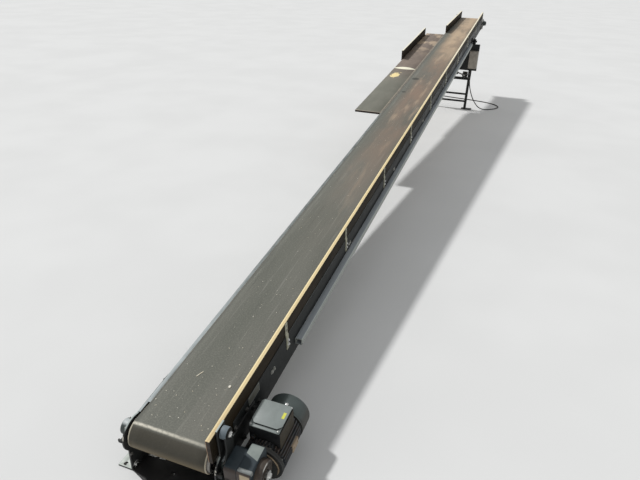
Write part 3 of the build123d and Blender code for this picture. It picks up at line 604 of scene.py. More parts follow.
def cowl_finish():
    """The cowl's paint: dark brown where it turns down, as painted shade, and lighter grey-green where it
    faces up, as painted sunlight.
    """
    f = Finish("cowl_paint_and_light", specular=0.45)
    cloud = f.cloud()
    f.base = f.blend(cloud, (0.026, 0.025, 0.020), (0.042, 0.041, 0.034))
    top = f.blend(cloud, (0.052, 0.066, 0.062), (0.076, 0.094, 0.090))
    # Painted sunlight on what faces up
    f.lay(f.step(f.facing[2], 0.30, 0.62), top)
    return f.done(cloud, (0.42, 0.6), f.grit(), 0.0004, 0.4)


def lid_finish():
    """The lid's pale enamel with fine light scratches on its top."""
    f = Finish("lid_cast", specular=0.45)
    cloud = f.cloud()
    f.base = f.blend(cloud, (0.200, 0.224, 0.214), (0.240, 0.268, 0.256))
    specks = f.both(f.fall(f.cells(330), 0.08, 0.2, 0.6), f.step(f.noise(36, 3), 0.48, 0.62))
    f.lay(specks, (0.45, 0.47, 0.44))
    return f.done(cloud, (0.42, 0.58), f.grit(), 0.0004)


def box_wall_finish():
    """The terminal box's dark walls, with painted brown light bounced from the ground on the right side."""
    f = Finish("box_wall_and_bounce", specular=0.2)
    cloud = f.cloud(24)
    f.base = f.blend(cloud, (0.010, 0.011, 0.012), (0.022, 0.023, 0.024))
    brown = f.blend(cloud, (0.022, 0.018, 0.010), (0.045, 0.035, 0.019))
    # Painted reflected light from the ground on the right side
    f.lay(f.fall(f.facing[1], -0.75, -0.5), brown)
    return f.done(cloud, (0.45, 0.65), f.grit(), 0.0005)


def rail_finish():
    """Mill-finished tube: blue-grey on top under specks of dust, pale along its sides, with a painted
    highlight along its rounded arrises.
    """
    f = Finish("rail_steel")
    streak = f.noise(60, 5, (0.05, 1, 1), 0.7)
    top = f.blend(streak, (0.28, 0.31, 0.33), (0.37, 0.40, 0.42))
    side = f.blend(streak, (0.28, 0.30, 0.28), (0.37, 0.39, 0.36))
    f.base = f.mix(f.step(f.facing[2], 0.55, 0.85), side, top)
    # Painted highlight along the rounded arrises
    f.lay(f.both(f.between(f.facing[2], 0.30, 0.90, 0.08), 0.8), (0.46, 0.50, 0.47))
    f.lay(f.both(f.fall(f.cells(260), 0.08, 0.22, 0.6), f.step(f.facing[2], 0.5, 0.9)), (0.09, 0.095, 0.095))
    return f.done(streak, (0.42, 0.58), streak, 0.0003, 0.4)


def cast_finish(name, dark, light, dust, stain=0.0):
    """Sand-cast metal under paint: a coarse skin, dust on top and oily stains."""
    f = Finish(name, specular=0.3)
    cloud = f.cloud()
    edge = f.noise(95, 6, rough=0.75)
    f.base = f.blend(cloud, dark, light)
    f.lay(f.step(edge, 0.64, 0.74, 0.0, 0.5), (0.22, 0.21, 0.19))
    if stain:
        oily = f.both(f.step(f.noise(32, 5), 0.42, 0.6), f.step(f.facing[2], 0.1, 0.8, 0.0, stain))
        f.lay(oily, (0.20, 0.105, 0.05))
    f.dust(dust, 0.1, 0.5, 30.0)
    return f.done(cloud, (0.42, 0.62), f.math("ADD", f.both(f.grit(), 1.5), edge), 0.0005)


def moulded_finish(name, dark, light, rough=(0.45, 0.6), dust=0.4):
    """Moulded plastic or rubber with a fine sparked texture, handled patches and dust."""
    f = Finish(name, specular=0.4)
    cloud = f.noise(26, 4)
    f.base = f.blend(cloud, dark, light)
    f.dust(DUST, 0.05, dust, 45.0)
    return f.done(cloud, rough, f.noise(900, 2), 0.00025)


def crumb_finish():
    """Dry crumbs and splinters of wood."""
    f = Finish("crumbs", rough=0.9, specular=0.2)
    f.base = f.blend(f.noise(150, 3), (0.62, 0.55, 0.41), (0.88, 0.85, 0.75), *CRISP)
    return f.done(height=f.noise(700, 3), depth=0.0004, strength=0.6)


def floor_finish():
    """A plain pale floor."""
    f = Finish("floor", rough=0.9, specular=0.2)
    f.base = f.blend(f.noise(1.2, 2), (0.70, 0.70, 0.69), (0.73, 0.73, 0.72))
    return f.done()


belt_skin = belt_finish()
belt_ply = belt_edge_finish()
film = film_finish()
table_film = table_finish()
ply_aside = ply_finish(1)
ply_height = ply_finish(2)
end_shade_and_dirt = end_shade_finish()
frame_paint = painted_finish("frame_paint", (0.014, 0.016, 0.016), (0.027, 0.029, 0.028), (0.12, 0.115, 0.10))
base_paint = painted_finish("base_paint", (0.010, 0.010, 0.011), (0.018, 0.017, 0.017), (0.04, 0.037, 0.033))
leg_paint = painted_finish("leg_paint", (0.009, 0.010, 0.010), (0.020, 0.021, 0.020), (0.09, 0.085, 0.075))
eye_paint = painted_finish("eye_paint", (0.075, 0.10, 0.12), (0.14, 0.17, 0.19), (0.24, 0.27, 0.29), 0.05)
plate_paint_and_light = plate_light_finish()
arris_highlight = arris_highlight_finish()
strip_paint = strip_finish()
edge_paint = painted_finish("edge_paint", (0.10, 0.115, 0.115), (0.19, 0.205, 0.20), (0.36, 0.34, 0.28), 0.1)
rail_skin = rail_finish()
zinc = metal_finish("zinc", (0.34, 0.34, 0.31), (0.52, 0.52, 0.49))
bright_zinc = metal_finish("bright_zinc", (0.62, 0.62, 0.60), (0.80, 0.80, 0.78), (0.22, 0.4), 0.05)
strap_steel = painted_finish("strap_steel", (0.30, 0.30, 0.22), (0.40, 0.39, 0.30), (0.75, 0.74, 0.66), 0.2)
blank_face = painted_finish("blank_face", (0.10, 0.10, 0.085), (0.15, 0.148, 0.125), (0.19, 0.18, 0.155), 0.0)
dull_steel = metal_finish("dull_steel", (0.16, 0.155, 0.145), (0.30, 0.29, 0.27), (0.4, 0.6), 0.6)
bearing_cast_and_highlight = bearing_highlight_finish()
gear_paint_and_sunlit_patch = gear_finish()
hub_cast_and_glint = hub_finish()
ridge_sunlit_cast = cast_finish("ridge_sunlit_cast", (0.16, 0.175, 0.17), (0.23, 0.245, 0.24), (0.30, 0.315, 0.305))
motor_paint = cast_finish(
    "motor_paint", (0.020, 0.026, 0.032), (0.048, 0.058, 0.066), (0.13, 0.115, 0.10), 0.25
)
cowl_paint_and_light = cowl_finish()
lid_cast = lid_finish()
box_wall_and_bounce = box_wall_finish()
flange_paint = cast_finish("flange_paint", (0.016, 0.017, 0.016), (0.032, 0.032, 0.029), (0.05, 0.047, 0.042))
# Pale film for the scraps, painted near-white as if in sunlight
sunlit_pale_film = moulded_finish("sunlit_pale_film", (0.80, 0.78, 0.72), (0.90, 0.88, 0.84), dust=0.1)
yellow_label = moulded_finish("yellow_label", (0.62, 0.62, 0.05), (0.74, 0.74, 0.10), dust=0.1)
tan_cast_and_highlight = cast_finish("tan_cast_and_highlight", (0.28, 0.21, 0.14), (0.42, 0.33, 0.23), (0.45, 0.38, 0.28), 0.4)
black_plastic = moulded_finish("black_plastic", (0.008, 0.008, 0.008), (0.022, 0.022, 0.021))
box_plastic = moulded_finish("box_plastic", (0.26, 0.235, 0.20), (0.34, 0.31, 0.265), (0.4, 0.55))
lead_rubber = moulded_finish("lead_rubber", (0.007, 0.007, 0.007), (0.016, 0.016, 0.015), (0.5, 0.7), 0.15)
crumb_wood = crumb_finish()
# Near-black for black rubber and seams, and as painted shade inside holes, gaps and the cowl
black_and_painted_shade = moulded_finish("black_and_painted_shade", (0.004, 0.004, 0.004), (0.008, 0.008, 0.008), (0.7, 0.9), 0.1)


# Directions, corners round a turned part, and bolts as the width across flats and the head's height
LEFT = (0, 1, 0)
RIGHT = (0, -1, 0)
HEADWARD = (1, 0, 0)
TAILWARD = (-1, 0, 0)
DOWN = (0, 0, -1)
FINE = 64
MEDIUM = 40
COARSE = 20
THIN_BOLT = (8, 3)
SMALL_BOLT = (8, 4)
FRAME_BOLT = (10, 4)
LARGE_BOLT = (13, 5.5)


# Shapes, each a bmesh in millimetres
def lift(z):
    """Moves a shape up along its own z."""
    return Matrix.Translation((0, 0, z))


def middle(low, high):
    """The centre of a box."""
    return [(a + b) / 2 for a, b in zip(low, high)]


def around(steps):
    """Points round a circle of radius one."""
    angles = [2 * math.pi * step / steps for step in range(steps)]
    return [(math.cos(angle), math.sin(angle)) for angle in angles]


def box_shape(low, high):
    """A box from its lowest to its highest corner."""
    shape = bmesh.new()
    bmesh.ops.create_cube(shape, size=1)
    low, high = Vector(low), Vector(high)
    shape.transform(Matrix.Translation((low + high) / 2) @ Matrix.Diagonal((*(high - low), 1)))
    return shape


def soften(shape, width, sharp=30, steps=2):
    """Rounds the edges of a shape that are sharper than an angle."""
    limit = math.radians(sharp)
    edges = [edge for edge in shape.edges if edge.is_manifold and edge.calc_face_angle() > limit]
    bmesh.ops.bevel(
        shape, geom=edges, offset=width, segments=steps, affect="EDGES", profile=0.5, clamp_overlap=True
    )
    return shape


def slab(low, high, width=0.8, steps=2):
    """A box with rounded edges."""
    return soften(box_shape(low, high), width, steps=steps)


def prism(outline, depth, width=0.0, steps=2):
    """An outline in x and y, raised along z by depth, with rounded edges."""
    shape = bmesh.new()
    face = shape.faces.new([shape.verts.new((x, y, 0)) for x, y in outline])
    raised = bmesh.ops.extrude_face_region(shape, geom=[face])["geom"]
    raised_corners = [part for part in raised if isinstance(part, bmesh.types.BMVert)]
    bmesh.ops.translate(shape, vec=(0, 0, depth), verts=raised_corners)
    bmesh.ops.recalc_face_normals(shape, faces=shape.faces)
    return soften(shape, width, steps=steps) if width else shape


def rounded(low, high, radius, steps=5):
    """The outline of a rectangle with round corners."""
    left, right = low[0] + radius, high[0] - radius
    bottom, top = low[1] + radius, high[1] - radius
    points = []
    for index, (x, y) in enumerate(((right, top), (left, top), (left, bottom), (right, bottom))):
        for step in range(steps + 1):
            angle = math.pi / 2 * (index + step / steps)
            points.append((x + radius * math.cos(angle), y + radius * math.sin(angle)))
    return points


def skin(shape, rows, loop, marks=None, end_mark=0):
    """Joins rows of corners into one skin. Marks number the finish of each strip along the rows."""
    pairs = list(zip(rows, rows[1:]))
    if loop:
        pairs.append((rows[-1], rows[0]))
    for near, far in pairs:
        for index in range(len(near)):
            after = (index + 1) % len(near)
            corners = dict.fromkeys((near[index], near[after], far[after], far[index]))
            if len(corners) > 2:
                shape.faces.new(list(corners)).material_index = marks[index] if marks else 0
    for row in () if loop else (rows[0], rows[-1]):
        if row[0] is not row[1]:
            shape.faces.new(row).material_index = end_mark
    bmesh.ops.recalc_face_normals(shape, faces=shape.faces)
    return shape


def loft(rings, loop=False, marks=None, end_mark=0):
    """Joins rings of points."""
    shape = bmesh.new()
    rows = [[shape.verts.new(point) for point in ring] for ring in rings]
    return skin(shape, rows, loop, marks, end_mark)


def turned(profile, steps=32, close=False):
    """A profile of (radius, z) turned round z. A closed profile is a ring with a bore."""
    shape = bmesh.new()
    rows = []
    for radius, z in profile:
        if radius < 0.01:
            rows.append([shape.verts.new((0, 0, z))] * steps)
        else:
            rows.append([shape.verts.new((radius * c, radius * s, z)) for c, s in around(steps)])
    return skin(shape, rows, close)


def hollow_bar(size, wall, length, corner=3.5):
    """A square tube along z with round corners and open ends."""
    half = size / 2
    outer = rounded((-half, -half), (half, half), corner, 4)
    inner = rounded((wall - half, wall - half), (half - wall, half - wall), max(corner - wall, 0.4), 4)
    burr = 0.3
    shrink = 1 - burr / half
    rings = [
        [(x, y, 0) for x, y in inner],
        [(x * shrink, y * shrink, 0) for x, y in outer],
        [(x, y, burr) for x, y in outer],
        [(x, y, length - burr) for x, y in outer],
        [(x * shrink, y * shrink, length) for x, y in outer],
        [(x, y, length) for x, y in inner],
    ]
    return loft(rings, loop=True)


def facing(point, direction, turn=0.0):
    """Places a shape's z along a direction at a point."""
    aim = Vector(direction).to_track_quat("Z", "Y").to_matrix().to_4x4()
    return Matrix.Translation(Vector(point)) @ aim @ Matrix.Rotation(math.radians(turn), 4, "Z")


HEX_STEPS = 6
ACROSS_CORNERS = 1.1547


def hex_head(width, height):
    """A hexagon head with its chamfered crown, from z 0 up."""
    corner = width / 2 * ACROSS_CORNERS
    shape = turned(((corner, 0), (corner, height * 0.82), (width / 2 * 0.9, height)), HEX_STEPS)
    return soften(shape, height * 0.05, steps=1)


def washer(outer, bore, thickness):
    """A flat washer from z 0 up."""
    edge = thickness * 0.2
    profile = ((bore, 0), (outer, 0), (outer, thickness - edge), (outer - edge, thickness), (bore, thickness))
    return turned(profile, 24, close=True)


def thread(radius, length, pitch=1.5):
    """A threaded end as a run of ridges from z 0 up."""
    profile = [(radius * 0.9, 0)]
    for index in range(int(length / pitch)):
        profile += [(radius, (index + 0.5) * pitch), (radius * 0.86, (index + 1) * pitch)]
    profile.append((radius * 0.7, length))
    return turned(profile, 16)


def sunk_hole(radius, rim, rise, floor, steps):
    """A hole as a low ring with a floor inside it, which its callers paint dark as the hole's shade."""
    return turned(((radius, 0), (radius, rise), (rim, rise), (rim, floor), (0, floor)), steps)


def stud(radius, start, end):
    """A round boss with a chamfered end."""
    return turned(((radius, start), (radius, end - 1), (radius - 0.9, end), (0, end)), COARSE)


def disc(radius, top):
    """A thin disc that closes a hole, painted dark by its callers as the hole's shade."""
    return turned(((radius, -0.6), (radius, top), (0, top)), COARSE)


class Piece:
    """Gathers shapes into one mesh, each with its finish."""

    def __init__(self, name, axes=DECK):
        self.name = name
        self.axes = axes
        self.shape = bmesh.new()
        self.finishes = []

    def index(self, finish):
        if finish not in self.finishes:
            self.finishes.append(finish)
        return self.finishes.index(finish)

    def add(self, shape, finish, place=WORLD):
        """Adds a shape in one finish, or by its faces' marks where finish is a tuple."""
        known = [self.index(one) for one in (finish if isinstance(finish, tuple) else (finish,))]
        for face in shape.faces:
            face.material_index = known[face.material_index if len(known) > 1 else 0]
        shape.transform(Matrix.Scale(MM, 4) @ self.axes @ place)
        carrier = bpy.data.meshes.new("carrier")
        shape.to_mesh(carrier)
        shape.free()
        self.shape.from_mesh(carrier)
        bpy.data.meshes.remove(carrier)

    def bolt(self, point, direction, size=FRAME_BOLT, finish=zinc, turn=0.0, out=0.0, ring=True):
        """A hexagon bolt's head on its washer, and what of its end stands out."""
        width, height = size
        place = facing(point, direction, turn)
        base = 1.6 if ring else 0.0
        if ring:
            self.add(washer(width * 0.92, width * 0.3, base), finish, place)
        self.add(hex_head(width, height), finish, place @ lift(base))
        if out:
            self.add(thread(width * 0.3, out), finish, place @ lift(base + height))

    def screw(self, point, direction, width, height, finish=zinc):
        """A round-headed screw with its cross recess as a sunk dimple."""
        half = width / 2
        rim = ((half, 0), (half, height * 0.3), (half * 0.82, height * 0.8))
        dimple = ((half * 0.4, height), (half * 0.28, height * 0.55), (0, height * 0.45))
        self.add(turned(rim + dimple, COARSE), finish, facing(point, direction))

    def weld(self, start, end, radius=2.2, finish=frame_paint, seed=1):
        """A weld bead between two points."""
        draw = random.Random(seed)
        start, end = Vector(start), Vector(end)
        count = max(4, int((end - start).length / 3.5))
        way = (end - start).normalized()
        side = way.orthogonal().normalized()
        above = way.cross(side)
        rings = []
        for index in range(count + 1):
            tip = 0.35 if index in (0, count) else 1.0
            size = radius * tip * (0.85 + 0.3 * draw.random())
            point = start.lerp(end, index / count)
            rings.append([point + size * (side * c + above * s) for c, s in around(8)])
        self.add(loft(rings), finish)

    def done(self, slot=None, *nodes, body="frame", sharp=32):
        """Makes the object, which rides on a body and stands for the frame's own nodes."""
        mesh = bpy.data.meshes.new(self.name)
        self.shape.to_mesh(mesh)
        self.shape.free()
        for finish in self.finishes:
            mesh.materials.append(finish)
        mesh.shade_smooth()
        mesh.set_sharp_from_angle(angle=math.radians(sharp))
        made = bpy.data.objects.new(self.name, mesh)
        bpy.context.scene.collection.objects.link(made)
        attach(made, body)
        if nodes:
            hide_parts(*nodes)
        return made


def node_shape(node, axes=DECK, width=0.7, steps=2):
    """A frame node's own solid in millimetres, its flat faces whole and its edges rounded."""
    shape = bmesh.new()
    shape.from_mesh(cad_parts[node].data)
    shape.transform(axes.inverted() @ Matrix.Scale(1 / MM, 4))
    bmesh.ops.remove_doubles(shape, verts=shape.verts, dist=0.001)
    bmesh.ops.dissolve_limit(shape, angle_limit=math.radians(0.5), verts=shape.verts, edges=shape.edges)
    return soften(shape, width, steps=steps) if width else shape


def islands(node, axes=DECK):
    """The lowest and highest corner of each of a node's solids, in order along x and then y."""
    shape = node_shape(node, axes, 0)
    seen = set()
    found = []
    for start in shape.verts:
        if start in seen:
            continue
        group = [start]
        seen.add(start)
        for vert in group:
            for edge in vert.link_edges:
                other = edge.other_vert(vert)
                if other not in seen:
                    seen.add(other)
                    group.append(other)
        spread = [[vert.co[axis] for vert in group] for axis in range(3)]
        found.append((Vector([min(row) for row in spread]), Vector([max(row) for row in spread])))
    shape.free()
    return sorted(found, key=lambda box: (round(box[0].x), box[0].y))


def span(node, axes=DECK):
    """The lowest and highest corner of a node of one solid."""
    return islands(node, axes)[0]


def dress(node, finish, slot="frame_steel", width=0.7, body="frame", axes=DECK, extra=None):
    """Makes a node's softened solid into a piece that replaces it, with what extra adds to it."""
    piece = Piece(node + "_made", axes)
    piece.add(node_shape(node, axes, width), finish)
    if extra:
        extra(piece)
    return piece.done(slot, node, body=body)


def two_toned(name, node, width, is_second, finishes):
    """A node's solid whose faces that pass a test take the second finish."""
    piece = Piece(name)
    shape = node_shape(node, DECK, width)
    for face in shape.faces:
        face.material_index = int(is_second(face.calc_center_median()))
    piece.add(shape, finishes)
    return piece


def jitter(point, scale, seed):
    """Smooth noise of a point, from -1 to 1."""
    return noise.noise(Vector(point) * scale + Vector((seed * 7.1, seed * 3.3, seed * 1.7)))


def swept(centre, radius, start, end, steps):
    """Points of an arc round a centre, its start and end in half turns."""
    points = []
    for step in range(steps + 1):
        angle = math.pi * (start + (end - start) * step / steps)
        points.append((centre[0] + radius * math.cos(angle), centre[1] + radius * math.sin(angle)))
    return points


def shafted(half, radius, chamfer, low, high):
    """A turned part's whole profile: the same half at both ends, each with its own shaft end."""
    ends = []
    for reach in (-low, high):
        ends.append(half + ((radius, reach - chamfer), (radius - chamfer, reach), (0, reach)))
    right, left = ends
    return [(r, -z) for r, z in reversed(right)] + list(left[1:])


# Belt and what lies on it
BELT_STEP = 50
ARC_STEPS = 28
BELT_SAG = 5
BELT_FLARE = 0.033
BELT_LANES = 8
BELT_NICK = 0.7
CRUMB_COUNT = 230
CRUMB_SIZES = (1.2, 4.2)
CRUMB_START = 30
CRUMB_REACH = 6900
CRUMB_MARGIN = 8
SPLINTER_PLACE = (250, 58, 0)
SPLINTER_TURN = -0.39
FLAKE_PLACE = (234, -75, 0)
SPLINTER = ((-17, -1.2), (15, -2), (19, 0.4), (10, 2), (-14, 1.6))
FLAKE = ((-5, -4), (4, -5), (7, 1), (2, 5), (-6, 3))


def belt_stations():
    """Places along the belt's outer face, each with the way that the face looks."""
    stations = [(index * BELT_STEP, 0, 0, 1) for index in range(DRUM_SPACING // BELT_STEP)]
    for index in range(ARC_STEPS):
        angle = math.pi / 2 - math.pi * index / ARC_STEPS
        way = (math.cos(angle), math.sin(angle))
        stations.append((DRUM_SPACING + AXLE_DEPTH * way[0], AXLE_DEPTH * (way[1] - 1), *way))
    supports = (0, *ROLLER_PLACES, DRUM_SPACING)
    for index in range(DRUM_SPACING // BELT_STEP):
        x = DRUM_SPACING - index * BELT_STEP
        near = max(place for place in supports if place < x)
        far = min(place for place in supports if place >= x)
        share = (x - near) / (far - near)
        stations.append((x, -2 * AXLE_DEPTH - 4 * BELT_SAG * share * (1 - share), 0, -1))
    for index in range(ARC_STEPS):
        angle = -math.pi / 2 - math.pi * index / ARC_STEPS
        way = (math.cos(angle), math.sin(angle))
        stations.append((AXLE_DEPTH * way[0], AXLE_DEPTH * (way[1] - 1), *way))
    return stations


def make_belt():
    """The belt's skin round both drums, with wavy cut edges."""
    nick = BELT_NICK
    breadth = BELT_LEFT - BELT_RIGHT - 2 * nick
    outer = [(BELT_LEFT - nick - breadth * lane / BELT_LANES, 0) for lane in range(BELT_LANES + 1)]
    right = [(BELT_RIGHT, -nick), (BELT_RIGHT, nick - BELT_THICKNESS)]
    inner = [(BELT_RIGHT + nick, -BELT_THICKNESS), (BELT_LEFT - nick, -BELT_THICKNESS)]
    left = [(BELT_LEFT, nick - BELT_THICKNESS), (BELT_LEFT, -nick)]
    section = outer + right + inner + left
    marks = [0] * BELT_LANES + [1] * (len(section) - BELT_LANES)
    rings = []
    for place, (x, h, way_x, way_h) in enumerate(belt_stations()):
        wave = 0.8 * jitter((place, 0, 0), 0.35, 3)
        flare = 1 + BELT_FLARE * smooth(min(1.0, max(0.0, 1.5 - x / BELT_STEP)))
        ring = []
        for y, depth in section:
            ring.append((x + way_x * depth, (y * flare if y > 0 else y) + wave, h + way_h * depth))
        rings.append(ring)
    piece = Piece("belt_skin")
    piece.add(loft(rings, loop=True, marks=marks), (belt_skin, belt_ply))
    piece.done("belt_rubber", "belt", sharp=50)


def grain_shape(size, draw, flat=0.5):
    """One irregular grain."""
    shape = bmesh.new()
    bmesh.ops.create_icosphere(shape, subdivisions=1, radius=size / 2)
    for vert in shape.verts:
        vert.co *= draw.uniform(0.7, 1.15)
    shape.transform(Matrix.Diagonal((draw.uniform(1.0, 1.9), draw.uniform(0.7, 1.1), flat, 1)))
    return shape


def make_crumbs():
    """Crumbs and splinters on the belt: many small ones, one long splinter and one pale flake."""
    draw = random.Random(11)
    piece = Piece("belt_crumbs")
    for _ in range(CRUMB_COUNT):
        size = draw.uniform(*CRUMB_SIZES)
        x = CRUMB_START + CRUMB_REACH * draw.random() ** 1.8
        y = draw.uniform(BELT_RIGHT + CRUMB_MARGIN, BELT_LEFT - CRUMB_MARGIN)
        place = Matrix.Translation((x, y, size * 0.2)) @ Matrix.Rotation(draw.uniform(0, math.pi), 4, "Z")
        piece.add(grain_shape(size, draw), crumb_wood, place)
    askew = Matrix.Translation(SPLINTER_PLACE) @ Matrix.Rotation(SPLINTER_TURN, 4, "Z")
    piece.add(prism(SPLINTER, 1.8, 0.3, 1), crumb_wood, askew)
    piece.add(prism(FLAKE, 2.4, 0.5, 1), crumb_wood, Matrix.Translation(FLAKE_PLACE))
    piece.done()


# Boards
PLANK_STEP = 25
PLANK_CHIP = 0.45
BOARD_JOINTS = (2400, 4840)
BOARD_GAP = 0.6
BOARD_SCREWS = (11, 62)
TABLE_JOINT = 1480
ARM_SCREW_INSETS = (28, 40)
TABLE_SCREWS = 5
TABLE_SCREW_START = 70
TABLE_SCREW_RISE = 7.5
HOLDER_BOLTS = (12, 36)
PLY_SHARP = 50


def plank(size, seed, upright=True, chips=1.0):
    """A board from its lowest corner: film on its wide faces, plies on its edges, chipped arrises."""
    length, width, height = size
    stations = max(2, round(length / PLANK_STEP))
    rings = []
    for index in range(stations + 1):
        x = length * index / stations
        cut = []
        for corner in range(4):
            rough = jitter((x, corner * 40, 0), 0.021, seed) + 0.6 * jitter((x, corner * 40, 9), 0.08, seed)
            cut.append(PLANK_CHIP + chips * max(0.0, rough) ** 2 * 2.2)
        a, b, c, d = cut
        section = ((a, 0), (width - b, 0), (width, b), (width, height - c))
        section += ((width - c, height), (d, height), (0, height - d), (0, a))
        rings.append([(x, y, z) for y, z in section])
    flat, edge = (1, 0) if upright else (0, 1)
    return loft(rings, marks=[flat, 1, edge, 1, flat, 1, edge, 1], end_mark=2)


def make_side_board():
    """The right board in three lengths, butted end to end, with its fasteners' heads inside."""
    low, high = span("side_board_right")
    piece = Piece("right_board")
    ends = (low.x, *BOARD_JOINTS, high.x)
    for index, (start, end) in enumerate(zip(ends, ends[1:])):
        board = plank((end - start - BOARD_GAP, high.y - low.y, high.z - low.z), 5 + index)
        piece.add(board, (film, ply_aside, end_shade_and_dirt), Matrix.Translation((start, low.y, low.z)))
    for strap in islands("board_straps"):
        for h in BOARD_SCREWS:
            piece.screw((middle(*strap)[0], high.y, h), LEFT, 14, 2.6, dull_steel)
    piece.done("film_plywood", "side_board_right", sharp=PLY_SHARP)


STRAP_LIP = 34
STRAP_BOLTS = (9, -12)
STRAP_SCREWS = ((62, 10, 2.6), (84, 7, 1.8))


def make_straps():
    """Joggled straps up the board's outside, each with two bolts in the web and two dark screws."""
    piece = Piece("straps")
    draw = random.Random(4)
    web = RIGHT_WEB
    lip = STRAP_LIP
    thick = WEB_THICKNESS
    for low, high in islands("board_straps"):
        x = middle(low, high)[0]
        half = (high.x - low.x) / 2
        outline = ((web, low.z), (low.y, low.z), (low.y, lip + thick), (web, lip + thick + 4))
        outline += ((web, high.z - 1.2), (web + 1.2, high.z), (high.y, high.z), (high.y, lip), (web, lip))
        across = Matrix(((0, 0, 1, x - half), (1, 0, 0, 0), (0, 1, 0, 0), (0, 0, 0, 1)))
        piece.add(prism(outline, 2 * half, 0.5), strap_steel, across)
        for h in STRAP_BOLTS:
            piece.bolt((x + 5, low.y, h), RIGHT, SMALL_BOLT, bright_zinc, draw.uniform(0, 60))
        for h, width, height in STRAP_SCREWS:
            piece.screw((x, web, h), RIGHT, width, height, dull_steel)
    piece.done("bare_steel", "board_straps")


def make_side_table():
    """The table beside the belt: two boards end to end, screwed down to their arms."""
    low, high = span("wing_table")
    piece = Piece("side_table")
    joint = low.x + TABLE_JOINT
    for index, (start, end) in enumerate(((low.x, joint), (joint, high.x))):
        size = (end - start - BOARD_GAP * (1 - index), high.y - low.y, high.z - low.z)
        board = plank(size, 21 + index, upright=False, chips=1.4)
        piece.add(board, (table_film, ply_height, end_shade_and_dirt), Matrix.Translation((start, low.y, low.z)))
    for arm in islands("wing_arms"):
        for y in (low.y + ARM_SCREW_INSETS[0], high.y - ARM_SCREW_INSETS[1]):
            piece.screw((middle(*arm)[0], y, high.z), UP, 7, 0.8, dull_steel)
    piece.done("film_plywood", "wing_table", sharp=PLY_SHARP)


def make_table_board():
    """The upright board along the table's outer edge, with screws into the table."""
    low, high = span("wing_board")
    piece = Piece("table_board")
    piece.add(plank(tuple(high - low), 31), (film, ply_aside, end_shade_and_dirt), Matrix.Translation(low))
    start = TABLE_SCREW_START
    for index in range(TABLE_SCREWS):
        x = low.x + start + index * (high.x - low.x - 2 * start) / (TABLE_SCREWS - 1)
        piece.screw((x, high.y, low.z + TABLE_SCREW_RISE), LEFT, 8, 1.2, dull_steel)
    piece.done("film_plywood", "wing_board", sharp=PLY_SHARP)


HEAD_BOARD_TOE = math.radians(1.95)
HEAD_BOARD_THICKNESS = 15


def make_head_board():
    """The toed-in board at the head's left."""
    low, high = span("head_board_left")
    piece = Piece("head_board")
    thickness = HEAD_BOARD_THICKNESS
    length = (high.x - low.x - thickness * math.sin(HEAD_BOARD_TOE)) / math.cos(HEAD_BOARD_TOE)
    start = Matrix.Translation((low.x, high.y, low.z)) @ Matrix.Rotation(-HEAD_BOARD_TOE, 4, "Z")
    board = plank((length, thickness, high.z - low.z), 41)
    piece.add(board, (film, ply_aside, end_shade_and_dirt), start @ Matrix.Translation((0, -thickness, 0)))
    piece.done("film_plywood", "head_board_left", sharp=PLY_SHARP)


def holder_fasteners(piece):
    """Bolts through each holder into the head's board and the left side member."""
    for low, high in islands("board_holders"):
        for h in (low.z + HOLDER_BOLTS[0], HOLDER_BOLTS[1]):
            piece.bolt((middle(low, high)[0], high.y, h), LEFT)


def arm_details(piece):
    """A weld down each arm's root."""
    for index, (low, high) in enumerate(islands("wing_arms")):
        for x in (low.x, high.x):
            piece.weld((x, low.y + 0.5, low.z + 1), (x, low.y + 0.5, high.z - 1), 1.8, seed=index + 50)


# Side members, bed, rails and cross members
CROSS_BOLT_HEIGHT = -21
CROSS_BOLT_OFFSET = 9
RAIL_WALL = 3.5
RAIL_WELDS = 9
RAIL_WELD_LENGTH = 60
RAIL_WELD_START = 120
RAIL_WELD_END = 180
UPPER_BOLTS = ((167, -2), (85, 0))
LOWER_BOLTS = ((250, -49), (118, -86), (212, -92))
LEFT_BOLTS = (150, 232, 6980, 7060)
LEFT_BOLT_HEIGHT = -52
STRIP_LUG = ((32, 160, -4), (78, 168, -1))


def cross_bolts(piece, web, way, turn):
    """Two bolts through a web into each cross member's end."""
    for index, member in enumerate(islands("cross_members")):
        for offset in (-CROSS_BOLT_OFFSET, CROSS_BOLT_OFFSET):
            piece.bolt((middle(*member)[0] + offset, web, CROSS_BOLT_HEIGHT), way, turn=index * turn)


def make_right_member():
    """The right side member with its bolts' heads, and a painted highlight along its top arris."""
    crest = span("side_member_right")[1].z - 0.6
    tones = (frame_paint, arris_highlight)
    piece = two_toned("right_member", "side_member_right", 0.5, lambda centre: centre.z > crest, tones)
    for x, h in UPPER_BOLTS:
        piece.bolt((x, RIGHT_WEB, h), RIGHT, finish=dull_steel, turn=x)
    for x, h in LOWER_BOLTS:
        piece.bolt((x, RIGHT_WEB, h), RIGHT, finish=frame_paint, turn=x)
    cross_bolts(piece, RIGHT_WEB, RIGHT, 13)
    piece.done("frame_steel", "side_member_right")


def make_left_member():
    """The left side member: its pale top strip beside the belt and its bolts."""
    tones = (frame_paint, strip_paint)
    crest = BED_TOP + 0.4
    piece = two_toned("left_member", "side_member_left", 0.5, lambda centre: centre.z > crest, tones)
    piece.add(slab(*STRIP_LUG, 0.6), strip_paint)
    cross_bolts(piece, LEFT_WEB, LEFT, 17)
    for x in LEFT_BOLTS:
        piece.bolt((x, LEFT_WEB, LEFT_BOLT_HEIGHT), LEFT, LARGE_BOLT, turn=x, out=3)
    piece.done("frame_steel", "side_member_left")


